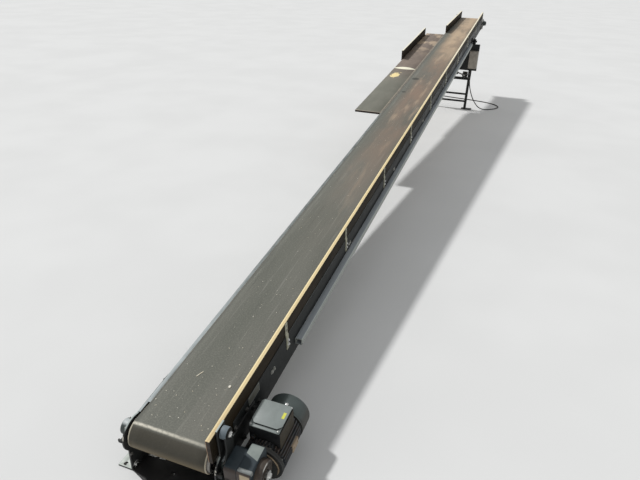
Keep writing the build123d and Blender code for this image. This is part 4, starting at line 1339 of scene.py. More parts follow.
def make_rails():
    """Square tubes along both sides, stitch-welded to the side members."""
    piece = Piece("rails")
    for low, high in islands("side_rails"):
        start = Vector((low.x, *middle(low, high)[1:]))
        piece.add(hollow_bar(high.z - low.z, RAIL_WALL, high.x - low.x), rail_skin, facing(start, HEADWARD))
        web = RIGHT_WEB if low.y < 0 else LEFT_WEB
        y = web + math.copysign(1, low.y) * 1.4
        run = high.x - low.x - RAIL_WELD_START - RAIL_WELD_END
        for index in range(RAIL_WELDS):
            x = low.x + RAIL_WELD_START + index * run / (RAIL_WELDS - 1)
            for h in (low.z + 0.6, high.z - 0.6):
                piece.weld((x, y, h), (x + RAIL_WELD_LENGTH, y, h), 2.0, dull_steel, index)
    piece.done("rail_steel", "side_rails")


def member_details(piece):
    """Weld beads where each cross member meets the left web."""
    for index, (low, high) in enumerate(islands("cross_members")):
        for x in (low.x + 0.5, high.x - 0.5):
            piece.weld((x, high.y - 1.5, low.z + 3), (x, high.y - 1.5, high.z - 3), 1.8, seed=index)


# Tail and head: plates, feet, bearings and take-up screws
PLATE_THICKNESS = 6
PLATE_BOLTS = ((118, -86), (212, -92), (200, -22))
FOOT_WELD = (-40, 62)
INNER_BOLT = (-46, -132)
BRIGHT_BOLT = (-41, -193)
FOOT_HOLE = (-34, 208, 7.1)
FOOT_BOLT = (5, 212, 7)
HEAD_BOLTS = ((-190, -110), (-90, -58))
BASE_WELDS = (-38, 18)
BASE_WELD_LENGTH = 38
BASE_HOLE = (-11, 30, 6)
TO_DECK = DECK.inverted()
WORLD_UP = TO_DECK.to_3x3() @ UP
SCRAPS = (
    ((28, 156), (34, 150), (39, 130), (34, 122), (30, 128)),
    ((30, 113), (34, 111), (36, 88), (32, 87)),
)


def tail_details(side):
    """Welds, foot bolts and small bolts of one tail plate, side 1 at the left."""
    web = LEFT_WEB if side > 0 else RIGHT_WEB
    outside = web + side * PLATE_THICKNESS
    way = (0, side, 0)

    def add(piece):
        start, end = [TO_DECK @ Vector((x, outside + side * 1.2, 7)) for x in FOOT_WELD]
        piece.weld(start, end, 2.4, dull_steel, 7)
        for x, h in PLATE_BOLTS:
            piece.bolt((x, outside, h), way, LARGE_BOLT, frame_paint, x, 3)
        piece.bolt((INNER_BOLT[0], web, INNER_BOLT[1]), (0, -side, 0), THIN_BOLT, dull_steel)
        if side > 0:
            piece.bolt((BRIGHT_BOLT[0], web, BRIGHT_BOLT[1]), RIGHT, (13, 6), bright_zinc)
            # The foot's hole, painted as a dark disc of shade
            piece.add(disc(5.5, 0.4), black_and_painted_shade, facing(TO_DECK @ Vector(FOOT_HOLE), WORLD_UP))
            piece.bolt(TO_DECK @ Vector(FOOT_BOLT), WORLD_UP, THIN_BOLT, dull_steel)

    return add


def head_details(piece):
    """Bolts that hold the head's plates to the side members."""
    for web, side in ((LEFT_WEB, 1), (RIGHT_WEB, -1)):
        for before, h in product(*HEAD_BOLTS):
            x = DRUM_SPACING + before
            piece.bolt((x, web + side * PLATE_THICKNESS, h), (0, side, 0), LARGE_BOLT, turn=x + h)


def base_details(piece):
    """A hole painted as a dark disc of shade, weld beads and two scraps of pale film on the plate between the
    tail feet.
    """
    for y, start in product((LEFT_WEB - 1.5, RIGHT_WEB + 1.5), BASE_WELDS):
        near, far = [TO_DECK @ Vector((x, y, 6.5)) for x in (start, start + BASE_WELD_LENGTH)]
        piece.weld(near, far, 2.0, seed=start)
    piece.add(disc(5, 0.3), black_and_painted_shade, facing(TO_DECK @ Vector(BASE_HOLE), WORLD_UP))
    # Scraps painted near-white as if in sunlight
    for scrap in SCRAPS:
        piece.add(prism(scrap, 1.0, 0.2, 1), sunlit_pale_film, TO_DECK @ lift(6))


BEARING_BORE = 12.5
FLANGE_SIZE = (60, 64)
FLANGE_DEPTH = 9
NIPPLE = ((3, 0), (3, 3), (1.8, 3.4), (1.8, 5), (2.6, 6), (1.2, 8.4), (0, 8.6))
BEARING_BOLTS = ((24, 25), (-24, 25), (24, -25), (-24, -25))


def make_bearing(piece, x, side, low, high):
    """A flanged bearing: cast flange, boss, seal, inner ring and its four bolts."""
    plate = PLATE_LEFT if side > 0 else PLATE_RIGHT
    way = (0, side, 0)
    place = facing((x, plate, -AXLE_DEPTH), way)
    width, height = FLANGE_SIZE
    depth = high.y - low.y
    foot = FLANGE_DEPTH
    bore = BEARING_BORE
    outline = rounded((-width / 2, -height / 2), (width / 2, height / 2), 14, 6)
    piece.add(prism(outline, foot, 1.4, 3), bearing_cast_and_highlight, place @ Matrix.Rotation(math.pi / 2, 4, "Z"))
    body = ((28, foot - 0.5), (28, depth - 4), (26.5, depth - 1.4), (24, depth), (20.5, depth))
    body += ((20, depth - 2.2), (bore + 4.5, depth - 2.2), (bore + 4.2, depth - 0.6))
    body += ((bore + 0.4, depth - 0.6), (bore + 0.4, foot - 0.5))
    piece.add(turned(body, MEDIUM, close=True), bearing_cast_and_highlight, place)
    fillet = ((30.5, foot - 0.6), (28.8, foot + 0.6), (28, foot + 2.2), (27, foot - 0.6))
    piece.add(turned(fillet, MEDIUM, close=True), bearing_cast_and_highlight, place)
    for aside, above in BEARING_BOLTS:
        spot = (x + aside * 0.98, plate + side * foot, -AXLE_DEPTH + above)
        piece.bolt(spot, way, SMALL_BOLT, dull_steel, aside)
    if depth > 2 * foot:
        nipple = facing((x + 14, plate + side * (foot + 12), -AXLE_DEPTH + 23.5), (0.5, 0, 0.86))
        piece.add(turned(NIPPLE, 12), zinc, nipple)


def make_bearings():
    """Both drums' bearings."""
    for node, x in (("tail_bearings", 0), ("head_bearings", DRUM_SPACING)):
        piece = Piece(node + "_made")
        for low, high in islands(node):
            make_bearing(piece, x, 1 if low.y > 0 else -1, low, high)
        piece.done("cast_bearing", node, sharp=35)


def make_take_up():
    """Take-up screws through their lugs, each with its nut."""
    piece = Piece("take_up")
    for x, way in ((0, -1), (DRUM_SPACING, 1)):
        for y in (PLATE_LEFT + 7.5, PLATE_RIGHT - 7.5):
            place = facing((x + way * 30, y, -AXLE_DEPTH), (way, 0, 0))
            piece.add(thread(4, 26, 1.25), frame_paint, place)
            piece.add(slab((-12, -7.5, 25), (12, 7.5, 31), 1.0), frame_paint, place)
            piece.add(hex_head(13, 6.5), frame_paint, place @ lift(18.2))
    piece.done("bare_steel", "take_up_screws")


# Drums and return rollers
DRUM_RADIUS = 52.5
DRUM_FACE = 152
DRUM_DISC = 22
DRUM_SHAFT = 12.5
ROLLER_FACE = 148


def make_drum(node):
    """A crowned drum with end discs set in, hub rings, its shaft and a key in the shaft's end."""
    low, high = span(node)
    x = middle(low, high)[0]
    piece = Piece(node + "_made")
    face, radius, shaft = DRUM_FACE, DRUM_RADIUS, DRUM_SHAFT
    inset = face - DRUM_DISC
    half = ((radius - 0.6, 0), (radius - 0.6, face - 30), (radius - 1.2, face - 1), (radius - 2.0, face))
    half += ((radius - 10, face), (radius - 12, face - 2), (radius - 12, inset), (26, inset))
    half += ((24, inset + 1.5), (24, inset + 12), (22.5, inset + 14), (shaft, inset + 14))
    profile = shafted(half, shaft, 1.2, low.y, high.y)
    piece.add(turned(profile, FINE), dull_steel, facing((x, 0, -AXLE_DEPTH), LEFT))
    for end, side in ((high.y, 1), (low.y, -1)):
        place = facing((x, end - side * 9.6, shaft - 3.2 - AXLE_DEPTH), (0, side, 0))
        piece.add(slab((-3, -3, 0), (3, 3, 10), 0.4), zinc, place)
    piece.done("bare_steel", node, body=node)


def make_drive_bolt():
    """The bolt and washer that hold the gearbox on the drive shaft's end."""
    piece = Piece("drive_shaft_bolt")
    piece.bolt((0, span("drive_drum")[0].y, -AXLE_DEPTH), RIGHT, (17, 7), bright_zinc)
    piece.done("bare_steel", body="drive_drum")


def make_roller(index, x):
    """A return roller: tube with a seam, pressed ends, and its shaft."""
    node = f"return_roller_{index}"
    low, high = span(node)
    piece = Piece(node + "_made")
    face = ROLLER_FACE
    half = ((20, 0), (20, face - 1.5), (19, face), (17, face), (16.4, face - 3), (9.5, face - 3))
    half += ((8.8, face + 1.2), (6, face + 1.2))
    profile = shafted(half, 6, 0.8, low.y, high.y)
    piece.add(turned(profile, MEDIUM), dull_steel, facing((x, 0, ROLLER_HEIGHT), LEFT))
    seam = slab((-0.7, -face + 4, 19.6), (0.7, face - 4, 20.15), 0.2, 1)
    piece.add(seam, dull_steel, Matrix.Translation((x, 0, ROLLER_HEIGHT)))
    piece.done("bare_steel", node, body=node)


def plate_details(piece):
    """Two bolts through each roller plate's upper end."""
    for low, high in islands("roller_plates"):
        y, way = (high.y, LEFT) if low.y < 0 else (low.y, RIGHT)
        for offset in (-CROSS_BOLT_OFFSET, CROSS_BOLT_OFFSET):
            piece.bolt((middle(low, high)[0] + offset, y, high.z - 8), way, THIN_BOLT)


# Gearbox and motor
CASING_START = (-60, -158)
CASING_END = 58
SEAM_DEPTH = 45
SEAM_GAP = 0.7
CASING_WIDTH = 94
RIDGE = ((-54, -306, -12), (-39, -255, 3.5))
HUB_BOLTS = ((-30, -118), (26, -134))
SEAM_BOSSES = ((-54, -90, 20), (-52, -146, 40), (0, -156, 8), (50, -148, 30))
HUB_PROFILE = (
    ((12.9, 0), (46, 0), (46, 20), (44.5, 23), (42, 24), (36, 24))
    + ((34, 21), (24, 21), (23, 24), (17, 24), (16, 20), (12.9, 20))
)
NECK_PROFILE = ((20, -6), (62, -6), (60, 0), (60, 4), (75, 4), (76, 5), (76, 11.2), (75.2, 12), (20, 12))
# The tan ring on the neck, painted bright as the flange's sunlit edge
LIT_RIM_PROFILE = ((60, 0.4), (63.5, 0.6), (64, 1.2), (64, 3.6), (60, 4))


def casing_outline(right, top, radius=16):
    """The outline of a part of the gearbox's casing in the deck's x and height."""
    return rounded(CASING_START, (right, top), radius, 6)


def upright_prism(outline, start, depth, width=0.0, steps=2):
    """A prism whose outline lies in x and height, from y start towards the right by depth."""
    shape = prism(outline, depth, width, steps)
    shape.transform(Matrix(((1, 0, 0, 0), (0, 0, -1, start), (0, 1, 0, 0), (0, 0, 0, 1))))
    return shape


def motor_place(x):
    """A place on the motor's axis, looking up the belt."""
    return facing((x, MOTOR_Y, MOTOR_HEIGHT), HEADWARD)


def make_gearbox():
    """Two casing halves with a bolted seam, a ridge on top painted pale as sunlit, and the output hub."""
    piece = Piece("gearbox_made")
    seam_y = GEARBOX_FACE - SEAM_DEPTH
    casing_right = GEARBOX_FACE - CASING_WIDTH
    halves = (
        (casing_outline(34, 1), GEARBOX_FACE, SEAM_DEPTH - SEAM_GAP, 3, 3),
        (casing_outline(CASING_END, -34), GEARBOX_FACE, SEAM_DEPTH - SEAM_GAP, 3, 3),
        (casing_outline(CASING_END, 2), seam_y - SEAM_GAP, CASING_WIDTH - SEAM_DEPTH - SEAM_GAP, 3.5, 3),
        (rounded((-58, -156), (32, 0), 15, 6), seam_y + 2, 4),
    )
    for half in halves:
        piece.add(upright_prism(*half), gear_paint_and_sunlit_patch)
    for x, h, turn in SEAM_BOSSES:
        piece.add(stud(6.5, -7, 8), gear_paint_and_sunlit_patch, facing((x, seam_y, h), RIGHT))
        piece.bolt((x, seam_y - 8, h), RIGHT, (10, 5), dull_steel, turn, ring=False)
    # The ridge, painted pale as where the sun falls on it
    piece.add(slab(*RIDGE, 6, 5), ridge_sunlit_cast)
    piece.add(turned(HUB_PROFILE, 56, close=True), hub_cast_and_glint, facing((0, casing_right, -AXLE_DEPTH), RIGHT))
    for x, h in HUB_BOLTS:
        piece.bolt((x, casing_right + 0.4, h), RIGHT, (17, 6), dull_steel)
    piece.add(turned(NECK_PROFILE, FINE), flange_paint, motor_place(CASING_END))
    # Tan ring painted bright as the flange's sunlit edge
    piece.add(turned(LIT_RIM_PROFILE, FINE, close=True), tan_cast_and_highlight, motor_place(CASING_END))
    piece.done("gearmotor_paint", "gearbox", sharp=35)


FIN_COUNT = 38
FIN_ROOT = 66
FIN_TIP = 75.5
BODY_START = 78
BODY_LENGTH = 156
FLANGE_START = 70
FLANGE_BOLTS = 8
FLANGE_BOLT_CIRCLE = 70.5
PAD_BOLTS = (155, 182)
PAD_REACH = (62, 78)
PAD_ALONG = (146, 191)
PAD_HEIGHTS = (-128, -92)
FLANGE_PROFILE = ((20, 0), (75.2, 0), (76, 0.8), (76, 7.2), (75.2, 8), (70, 8), (67, 10.5), (20, 10.5))


def fin_ring(x, share):
    """One ring of the motor's body with its fins: flat tips, round roots."""
    points = []
    pitch = 2 * math.pi / FIN_COUNT
    foot = FIN_ROOT + 0.6
    fin = ((-0.5, FIN_ROOT), (-0.22, foot), (-0.14, FIN_TIP), (0.14, FIN_TIP), (0.22, foot))
    for index in range(FIN_COUNT):
        centre = 2 * math.pi * index / FIN_COUNT
        for offset, radius in fin:
            angle = centre + offset * pitch
            r = FIN_ROOT + (radius - FIN_ROOT) * share
            points.append((r * math.cos(angle), r * math.sin(angle), x))
    return points


def make_motor():
    """The finned body between its flange and its fan end, with side pads."""
    piece = Piece("motor_made")
    end = BODY_LENGTH
    shares = ((0, 0.0), (5, 0.02), (9, 0.94), (12, 1.0), (end - 10, 1.0), (end - 6, 0.9), (end, 0.0))
    piece.add(loft([fin_ring(x, share) for x, share in shares]), motor_paint, motor_place(BODY_START))
    piece.add(turned(FLANGE_PROFILE, FINE), flange_paint, motor_place(FLANGE_START))
    for index in range(FLANGE_BOLTS):
        angle = 2 * math.pi * (index + 0.5) / FLANGE_BOLTS
        y = MOTOR_Y + FLANGE_BOLT_CIRCLE * math.cos(angle)
        h = MOTOR_HEIGHT + FLANGE_BOLT_CIRCLE * math.sin(angle)
        piece.bolt((BODY_START, y, h), HEADWARD, (8, 4.5), dull_steel, index * 9, ring=False)
    for side, finish in ((1, motor_paint), (-1, tan_cast_and_highlight)):
        aside = sorted(MOTOR_Y + side * reach for reach in PAD_REACH)
        piece.add(slab(*zip(PAD_ALONG, aside, PAD_HEIGHTS), 1.6), finish)
        # Pad holes whose floors are painted dark as their shade
        for x in PAD_BOLTS:
            place = facing((x, MOTOR_Y + side * 77.6, MOTOR_HEIGHT), (0, side, 0))
            piece.add(sunk_hole(3.6, 2.6, 0.6, 0.2, 16), black_and_painted_shade, place)
    piece.done("gearmotor_paint", "motor", sharp=30)


COWL_RADIUS = 77
COWL_BEND = 14
GRILLE_RINGS = (12, 21, 30, 39, 48)
GRILLE_SPOKES = 8
COWL_SCREWS = ((258, 96.5, 13), (241, 117.9, 6))
CLIP_PLACE = (251, 112)


def off_motor(x, degrees, reach):
    """A place beside the motor's axis at an angle round it, and the way out from the axis."""
    angle = math.radians(degrees)
    way = Vector((0, math.cos(angle), math.sin(angle)))
    return Vector((x, MOTOR_Y, MOTOR_HEIGHT)) + way * reach, way


def make_cowl():
    """The fan cowl: pressed sheet with a rolled lip, a grille of rings and spokes, and its screws."""
    piece = Piece("fan_cowl_made")
    low, high = span("fan_cowl")
    length = high.x - low.x
    radius = COWL_RADIUS
    place = motor_place(low.x)
    bend = swept((radius - COWL_BEND, length - COWL_BEND), COWL_BEND, 0, 0.5, 6)[1:]
    shell = [(radius - 1.6, 0), (radius, 0), (radius, length - COWL_BEND), *bend, (54, length)]
    shell += [(52.5, length - 1.5), (52.5, length - 8), (50, length - 9), (0, length - 9)]
    piece.add(turned(shell, FINE), cowl_paint_and_light, place)
    bead = ((radius - 0.5, 5), (radius, 6), (radius, 9), (radius - 0.5, 10))
    bead += ((radius - 2, 10), (radius - 2, 5))
    piece.add(turned(bead, FINE, close=True), cowl_paint_and_light, place)
    # A dark disc behind the grille: painted shade inside the cowl
    piece.add(turned(((0, 0), (51, 0), (51, 0.8), (0, 0.8)), 48), black_and_painted_shade, place @ lift(length - 8.8))
    for ring in GRILLE_RINGS:
        wire = ((ring - 1.1, -1), (ring + 1.1, -1), (ring + 1.1, 1), (ring - 1.1, 1))
        piece.add(turned(wire, 56, close=True), cowl_paint_and_light, place @ lift(length - 2.4))
    for index in range(GRILLE_SPOKES):
        turn = Matrix.Rotation(2 * math.pi * index / GRILLE_SPOKES, 4, "Z")
        spoke = slab((0, -1.3, -1.0), (53, 1.3, 1.0), 0.4, 1)
        piece.add(spoke, cowl_paint_and_light, place @ lift(length - 2.6) @ turn)
    for x, degrees, width in COWL_SCREWS:
        piece.screw(*off_motor(x, degrees, radius - 0.4), width, 4, bright_zinc)
    clip = facing(*off_motor(*CLIP_PLACE, radius - 1))
    piece.add(slab((-5, -3.5, 0), (5, 3.5, 3), 0.8), bright_zinc, clip)
    piece.done("gearmotor_paint", "fan_cowl", sharp=35)


def make_terminal_box():
    """The terminal box's base with one blind gland in its near wall."""
    piece = Piece("terminal_box_made")
    low, high = span("terminal_box")
    piece.add(node_shape("terminal_box", DECK, 2.0, 3), box_wall_and_bounce)
    gland = facing((low.x, high.y - 14, -30), TAILWARD)
    piece.add(hex_head(18, 4), box_wall_and_bounce, gland)
    piece.add(turned(((8, 4), (8, 7), (6.6, 9), (0, 9)), 24), gear_paint_and_sunlit_patch, gland)
    piece.done("gearmotor_paint", "terminal_box")


LID_CUT = 14
LUG_INSETS = (6, 9)
LABEL_ALONG = (152, 177)
LABEL_ASIDE = (-324, -314)


def lid_outline(low, high, inset):
    """The lid's raised top with cut corners, or what lies inset under it."""
    left, right = low.y + 1.5, high.y - 1.5
    near, far = low.x + 11, high.x - 1
    first, second = LID_CUT, LID_CUT / 2
    outline = ((near + inset, left + first), (near + first, left + inset), (far - second, left + inset))
    outline += ((far - inset, left + second), (far - inset, right - second), (far - second, right - inset))
    return outline + ((near + first, right - inset), (near + inset, right - first))


def make_terminal_lid():
    """The cast lid: a rim with two corner lugs, a dark gap painted as the shade under the top's edge, and a
    raised top with cut corners whose side faces are painted dark as shade.
    """
    piece = Piece("terminal_lid_made")
    low, high = span("terminal_lid")
    rim_outline = rounded((low.x, low.y + 4), (high.x, high.y), 5, 5)
    piece.add(prism(rim_outline, 4, 1.0, 2), lid_cast, lift(low.z))
    # The dark gap under the top's edge: painted shade
    piece.add(prism(lid_outline(low, high, 2.5), 5.0, 0.9, 2), black_and_painted_shade, lift(low.z + 3.5))
    top = prism(lid_outline(low, high, 0), high.z - low.z - 6.2, 0.9, 2)
    # Side faces of the top painted dark as shade
    for face in top.faces:
        face.material_index = 0 if face.normal.z > 0.3 else 1
    piece.add(top, (lid_cast, black_and_painted_shade), lift(low.z + 6.2))
    near, right = LUG_INSETS
    for y in (low.y + right, high.y - near):
        piece.add(stud(5.5, 0, 8), lid_cast, Matrix.Translation((low.x + near, y, low.z)))
        piece.screw((low.x + near, y, low.z + 7.8), UP, 7, 1.6)
    label = zip(LABEL_ALONG, LABEL_ASIDE, (high.z - 0.1, high.z + 0.25))
    piece.add(slab(*label, 0.1, 1), yellow_label)
    piece.done("lid_alloy", "terminal_lid", sharp=35)


EYE_HEIGHT = 88
EYE_REACH = 21.6
ARM_BOLTS = (-27, -7, 13)
BUSH_LENGTH = 30


def make_torque_arm():
    """The flat arm over the gearbox, its bolts and the paler eye that takes its bush."""

    def in_eye(centre):
        near = math.hypot(centre.x, centre.z - EYE_HEIGHT) < EYE_REACH
        return near and centre.y > GEARBOX_FACE + 0.5

    piece = two_toned("torque_arm_made", "torque_arm", 0.8, in_eye, (frame_paint, eye_paint))
    for x in ARM_BOLTS:
        piece.bolt((x, GEARBOX_FACE + 6, -6), LEFT, finish=dull_steel, ring=False)
    piece.done("frame_steel", "torque_arm")


def make_bush():
    """The rubber bush in the arm's eye, with the bright bolt through it."""
    piece = Piece("bush_made")
    low, high = span("torque_bush")
    place = facing((0, high.y, middle(low, high)[2]), RIGHT)
    length = BUSH_LENGTH
    rubber = ((5, 0), (15.6, 0), (16, 0.6), (16, length - 1.4), (14.8, length), (5, length))
    piece.add(turned(rubber, MEDIUM), black_and_painted_shade, place)
    piece.add(washer(11, 4, 1.6), bright_zinc, place @ lift(length - 0.4))
    piece.add(hex_head(17, 5.6), bright_zinc, place @ lift(length + 1.2))
    piece.done("bush_rubber", "torque_bush")


BORDER = 2.2
RIVET = ((2, 0), (1.8, 0.7), (1, 1.0), (0, 1.1))


def make_blank_plate():
    """A blank aluminium plate with a raised border and four rivets."""
    piece = Piece("blank_plate_made")
    low, high = span("blank_plate")
    outline = rounded((low.x, low.z), (high.x, high.z), 3, 4)
    piece.add(upright_prism(outline, high.y, 1.1, 0.3, 1), blank_face)
    x0, x1, z0, z1 = low.x + 1, high.x - 1, low.z + 1, high.z - 1
    level = ((x0, x1, z1 - BORDER, z1), (x0, x1, z0, z0 + BORDER))
    upright = ((x0, x0 + BORDER, z0, z1), (x1 - BORDER, x1, z0, z1))
    for left, right, bottom, top in level + upright:
        piece.add(slab((left, low.y, bottom), (right, high.y - 0.8, top), 0.15, 1), edge_paint)
    for x, z in product((low.x + 6, high.x - 6), (low.z + 6, high.z - 6)):
        piece.add(turned(RIVET, 14), zinc, facing((x, high.y - 1.0, z), RIGHT))
    piece.done("bare_steel", "blank_plate")


# Stand, winch and control box, in the world's axes
OUTER_TUBE = 36
INNER_TUBE = 30
CLAMP_HEIGHTS = (392, 440)
OUTER_HOLES = (560, 5)
INNER_HOLES = (60, 6)
HOLE_PITCH = 50
PIN_HEIGHT = 817.7
FOOT_TOP = 8
PIVOT_BOLTS = ((9, 57), (-26, -94))


def pivot_details(piece):
    """Bolts round each stand pivot's plate."""
    pivots = islands("stand_pivots")
    for side, plate in ((1, PLATE_LEFT), (-1, PLATE_RIGHT)):
        for low, _ in [pivot for pivot in pivots if (pivot[0].y > 0) == (side > 0)]:
            for after, h in product(*PIVOT_BOLTS):
                x = low.x + after
                piece.bolt((x, plate, h), (0, side, 0), turn=x + h)


def make_outer_legs():
    """The stand's outer tubes: round corners, clamp screws and their height holes."""
    piece = Piece("outer_legs_made", WORLD)
    for low, high in islands("outer_legs", WORLD):
        foot = Vector((*middle(low, high)[:2], low.z))
        piece.add(hollow_bar(OUTER_TUBE, 2.5, high.z - low.z, 4), leg_paint, Matrix.Translation(foot))
        face = foot.x - OUTER_TUBE / 2
        for z in CLAMP_HEIGHTS:
            nut = facing((face, foot.y, z), TAILWARD)
            piece.add(hex_head(17, 7), zinc, nut)
            piece.add(thread(4.5, 20), zinc, nut @ lift(7))
            piece.add(washer(13, 4, 2.5), black_plastic, nut @ lift(24))
        # Height holes whose floors are painted dark as their shade
        start, count = OUTER_HOLES
        for index in range(count):
            place = facing((face, foot.y, start + index * HOLE_PITCH), TAILWARD)
            piece.add(sunk_hole(5.6, 4.6, 0.5, 0.2, 18), black_and_painted_shade, place)
        edge, way = (low.y, RIGHT) if low.y > 0 else (high.y, LEFT)
        piece.add(washer(15, 8.4, 2.4), dull_steel, facing((foot.x, edge, PIN_HEIGHT), way))
    piece.done("frame_steel", "outer_legs", body="stand")


def make_inner_legs():
    """The inner tubes that slide in the outer ones, with their holes and welded feet."""
    piece = Piece("inner_legs_made", WORLD)
    half = INNER_TUBE // 2
    ring = ((-half, -half), (half, -half), (half, half), (-half, half))
    for index, (low, high) in enumerate(islands("inner_legs", WORLD)):
        leg_y = LEG_LEFT if low.y > 0 else LEG_RIGHT
        place = Matrix.Translation((STAND_X, leg_y, FOOT_TOP))
        piece.add(hollow_bar(INNER_TUBE, 2, high.z - FOOT_TOP, 3.2), frame_paint, place)
        piece.add(slab((low.x, low.y, 0), (high.x, high.y, FOOT_TOP), 1.6), leg_paint)
        points = [Vector((STAND_X + x, leg_y + y, FOOT_TOP + 0.6)) for x, y in (*ring, ring[0])]
        for near, far in zip(points, points[1:]):
            piece.weld(near, far, 2.4, seed=index)
        # Holes whose floors are painted dark as their shade
        start, count = INNER_HOLES
        for step in range(count):
            place = facing((STAND_X - half, leg_y, start + HOLE_PITCH * step), TAILWARD)
            piece.add(sunk_hole(5.2, 4.3, 0.4, 0.1, 18), black_and_painted_shade, place)
    piece.done("frame_steel", "inner_legs", body="stand_legs")


def bar_welds(node):
    """Weld beads round both ends of the cross bars of a node."""

    def add(piece):
        for index, (low, high) in enumerate(islands(node, WORLD)):
            for y, z in product((low.y + 1.2, high.y - 1.2), (low.z + 0.4, high.z - 0.4)):
                piece.weld((low.x + 3, y, z), (high.x - 3, y, z), 1.8, seed=index)

    return add


WINCH_Y = -152
WINCH_Z = 425
WINCH_PLATE = 4
WINCH_FOOT = 390
WINCH_BOLTS = (398, 452)
WINCH_BOLT_REACH = 22
WINCH_SCREWS = (0.6, 2.7, 4.8)
WINCH_SCREW_CIRCLE = 22
DRUM_WRAPS = 7
CRANK_TILT = math.radians(18)
CRANK_REACH = 86
CRANK_WIDTH = 8
CRANK_DEPTH = 5


def make_winch():
    """The hand winch: plate, side cheeks, wound drum and gear cover."""
    piece = Piece("winch_made", WORLD)
    low, high = span("winch", WORLD)
    plate_x = high.x - WINCH_PLATE
    piece.add(slab((plate_x, low.y + 3, WINCH_FOOT), (high.x, high.y - 3, high.z), 1.0), frame_paint)
    for y, z in product((WINCH_Y - WINCH_BOLT_REACH, WINCH_Y + WINCH_BOLT_REACH), WINCH_BOLTS):
        piece.bolt((plate_x, y, z), TAILWARD)
    axis = facing((plate_x, WINCH_Y, WINCH_Z), TAILWARD)
    drum = [(6, 0), (33, 0), (33, 2.4), (17, 3)]
    for index in range(DRUM_WRAPS):
        z = 4.5 + index * 4.4
        drum += [(19, z), (21.4, z + 2.2), (19, z + 4.2)]
    drum += [(17, 36), (33, 36.6), (33, 39), (31, 40)]
    drum += [(30, 54), (27.5, 57), (22, 58), (9, 58), (9, 69.2), (8.2, 70), (0, 70)]
    piece.add(turned(drum, 44), black_plastic, axis)
    for angle in WINCH_SCREWS:
        spot = Vector((WINCH_SCREW_CIRCLE * math.cos(angle), WINCH_SCREW_CIRCLE * math.sin(angle), 58))
        piece.screw(axis @ spot, TAILWARD, 6, 1.6)
    piece.done("black_plastic", "winch", body="stand", sharp=40)


def make_crank():
    """The winch's crank: a flat arm with round ends, its nut and a ribbed grip."""
    piece = Piece("crank_made", WORLD)
    x = span("winch_crank", WORLD)[1].x
    outline = swept((0, 0), CRANK_WIDTH, 0.5, 1.5, 12) + swept((CRANK_REACH, 0), CRANK_WIDTH, -0.5, 0.5, 12)
    flat = Matrix(((0, 0, -1, x), (1, 0, 0, WINCH_Y), (0, 1, 0, WINCH_Z), (0, 0, 0, 1)))
    piece.add(prism(outline, CRANK_DEPTH, 0.8), dull_steel, flat @ Matrix.Rotation(CRANK_TILT, 4, "Z"))
    piece.add(hex_head(13, 6), zinc, facing((x - CRANK_DEPTH, WINCH_Y, WINCH_Z), TAILWARD))
    grip_y = WINCH_Y + CRANK_REACH * math.cos(CRANK_TILT)
    grip_z = WINCH_Z + CRANK_REACH * math.sin(CRANK_TILT)
    profile = [(3, 0), (8.5, 0), (9.5, 2)]
    for index in range(8):
        z = 6 + index * 8.6
        profile += [(10.9, z + 2), (10.9, z + 5.6), (10.1, z + 7)]
    profile += [(10.6, 77), (8, 79.5), (3, 80)]
    piece.add(turned(profile, 28), black_plastic, facing((x - CRANK_DEPTH, grip_y, grip_z), TAILWARD))
    piece.done("bare_steel", "winch_crank", body="stand", sharp=35)


HANGER_BOLTS = (16, 50)
HANGER_BOLT_HEIGHT = 790


def hanger_bolts(piece):
    """Bolts through the hanger's ear."""
    x = span("box_hanger", WORLD)[0].x
    for offset in HANGER_BOLTS:
        piece.bolt((x + offset, RIGHT_WEB - 4, HANGER_BOLT_HEIGHT), RIGHT, (13, 5))


def make_control_box():
    """The control box's body with its seam and four screws."""
    piece = Piece("control_box_made", WORLD)
    low, high = span("control_box", WORLD)
    piece.add(slab(low, high, 5.5, 4), box_plastic)
    for y, z in product((low.y + 14, high.y - 14), (low.z + 16, high.z - 16)):
        piece.screw((high.x - 0.4, y, z), HEADWARD, 6, 0.4, dull_steel)
    groove = slab((low.x + 16, low.y - 0.25, low.z + 8), (low.x + 18, high.y + 0.25, high.z - 8), 0.2, 1)
    piece.add(groove, black_and_painted_shade)
    piece.done("box_plastic", "control_box", sharp=40)


def make_box_door():
    """The box's lid with its raised field and four screws."""
    piece = Piece("box_door_made", WORLD)
    low, high = span("box_door", WORLD)
    flat = Matrix(((0, 0, -1, high.x), (1, 0, 0, 0), (0, 1, 0, 0), (0, 0, 0, 1)))
    piece.add(prism(rounded((low.y, low.z), (high.y, high.z), 6, 5), 2.2, 0.8), box_plastic, flat)
    field = rounded((low.y + 12, low.z + 14), (high.y - 12, high.z - 14), 5, 5)
    piece.add(prism(field, 3.0, 0.6), box_plastic, flat)
    for y, z in product((low.y + 7, high.y - 7), (low.z + 8, high.z - 8)):
        piece.screw((low.x + 0.9, y, z), TAILWARD, 7, 0.9, dull_steel)
    piece.done("box_plastic", "box_door", sharp=40)


OPEN_GLAND_SIDE = -240


def make_glands():
    """Cable glands under the box: locknut, body and domed cap. The lead comes out of one of them."""
    piece = Piece("cable_glands_made", WORLD)
    for low, high in islands("cable_glands", WORLD):
        x, y, _ = middle(low, high)
        place = facing((x, y, high.z), DOWN)
        piece.add(hex_head(20.5, 7), black_plastic, place)
        profile = [(8, 6.5), (9.6, 6.5)]
        for ridge in range(5):
            z = 7.5 + ridge * 2.4
            profile += [(10.4, z), (10.4, z + 1.4), (9.8, z + 1.8)]
        open_end = y > OPEN_GLAND_SIDE
        profile += [(9.4, 20), (8.0, 23.6), (6.6, 25)]
        profile += [(5.7, 25), (5.7, 6.5)] if open_end else [(0, 25)]
        piece.add(turned(profile, 28, close=open_end), black_plastic, place)
    piece.done("black_plastic", "cable_glands")


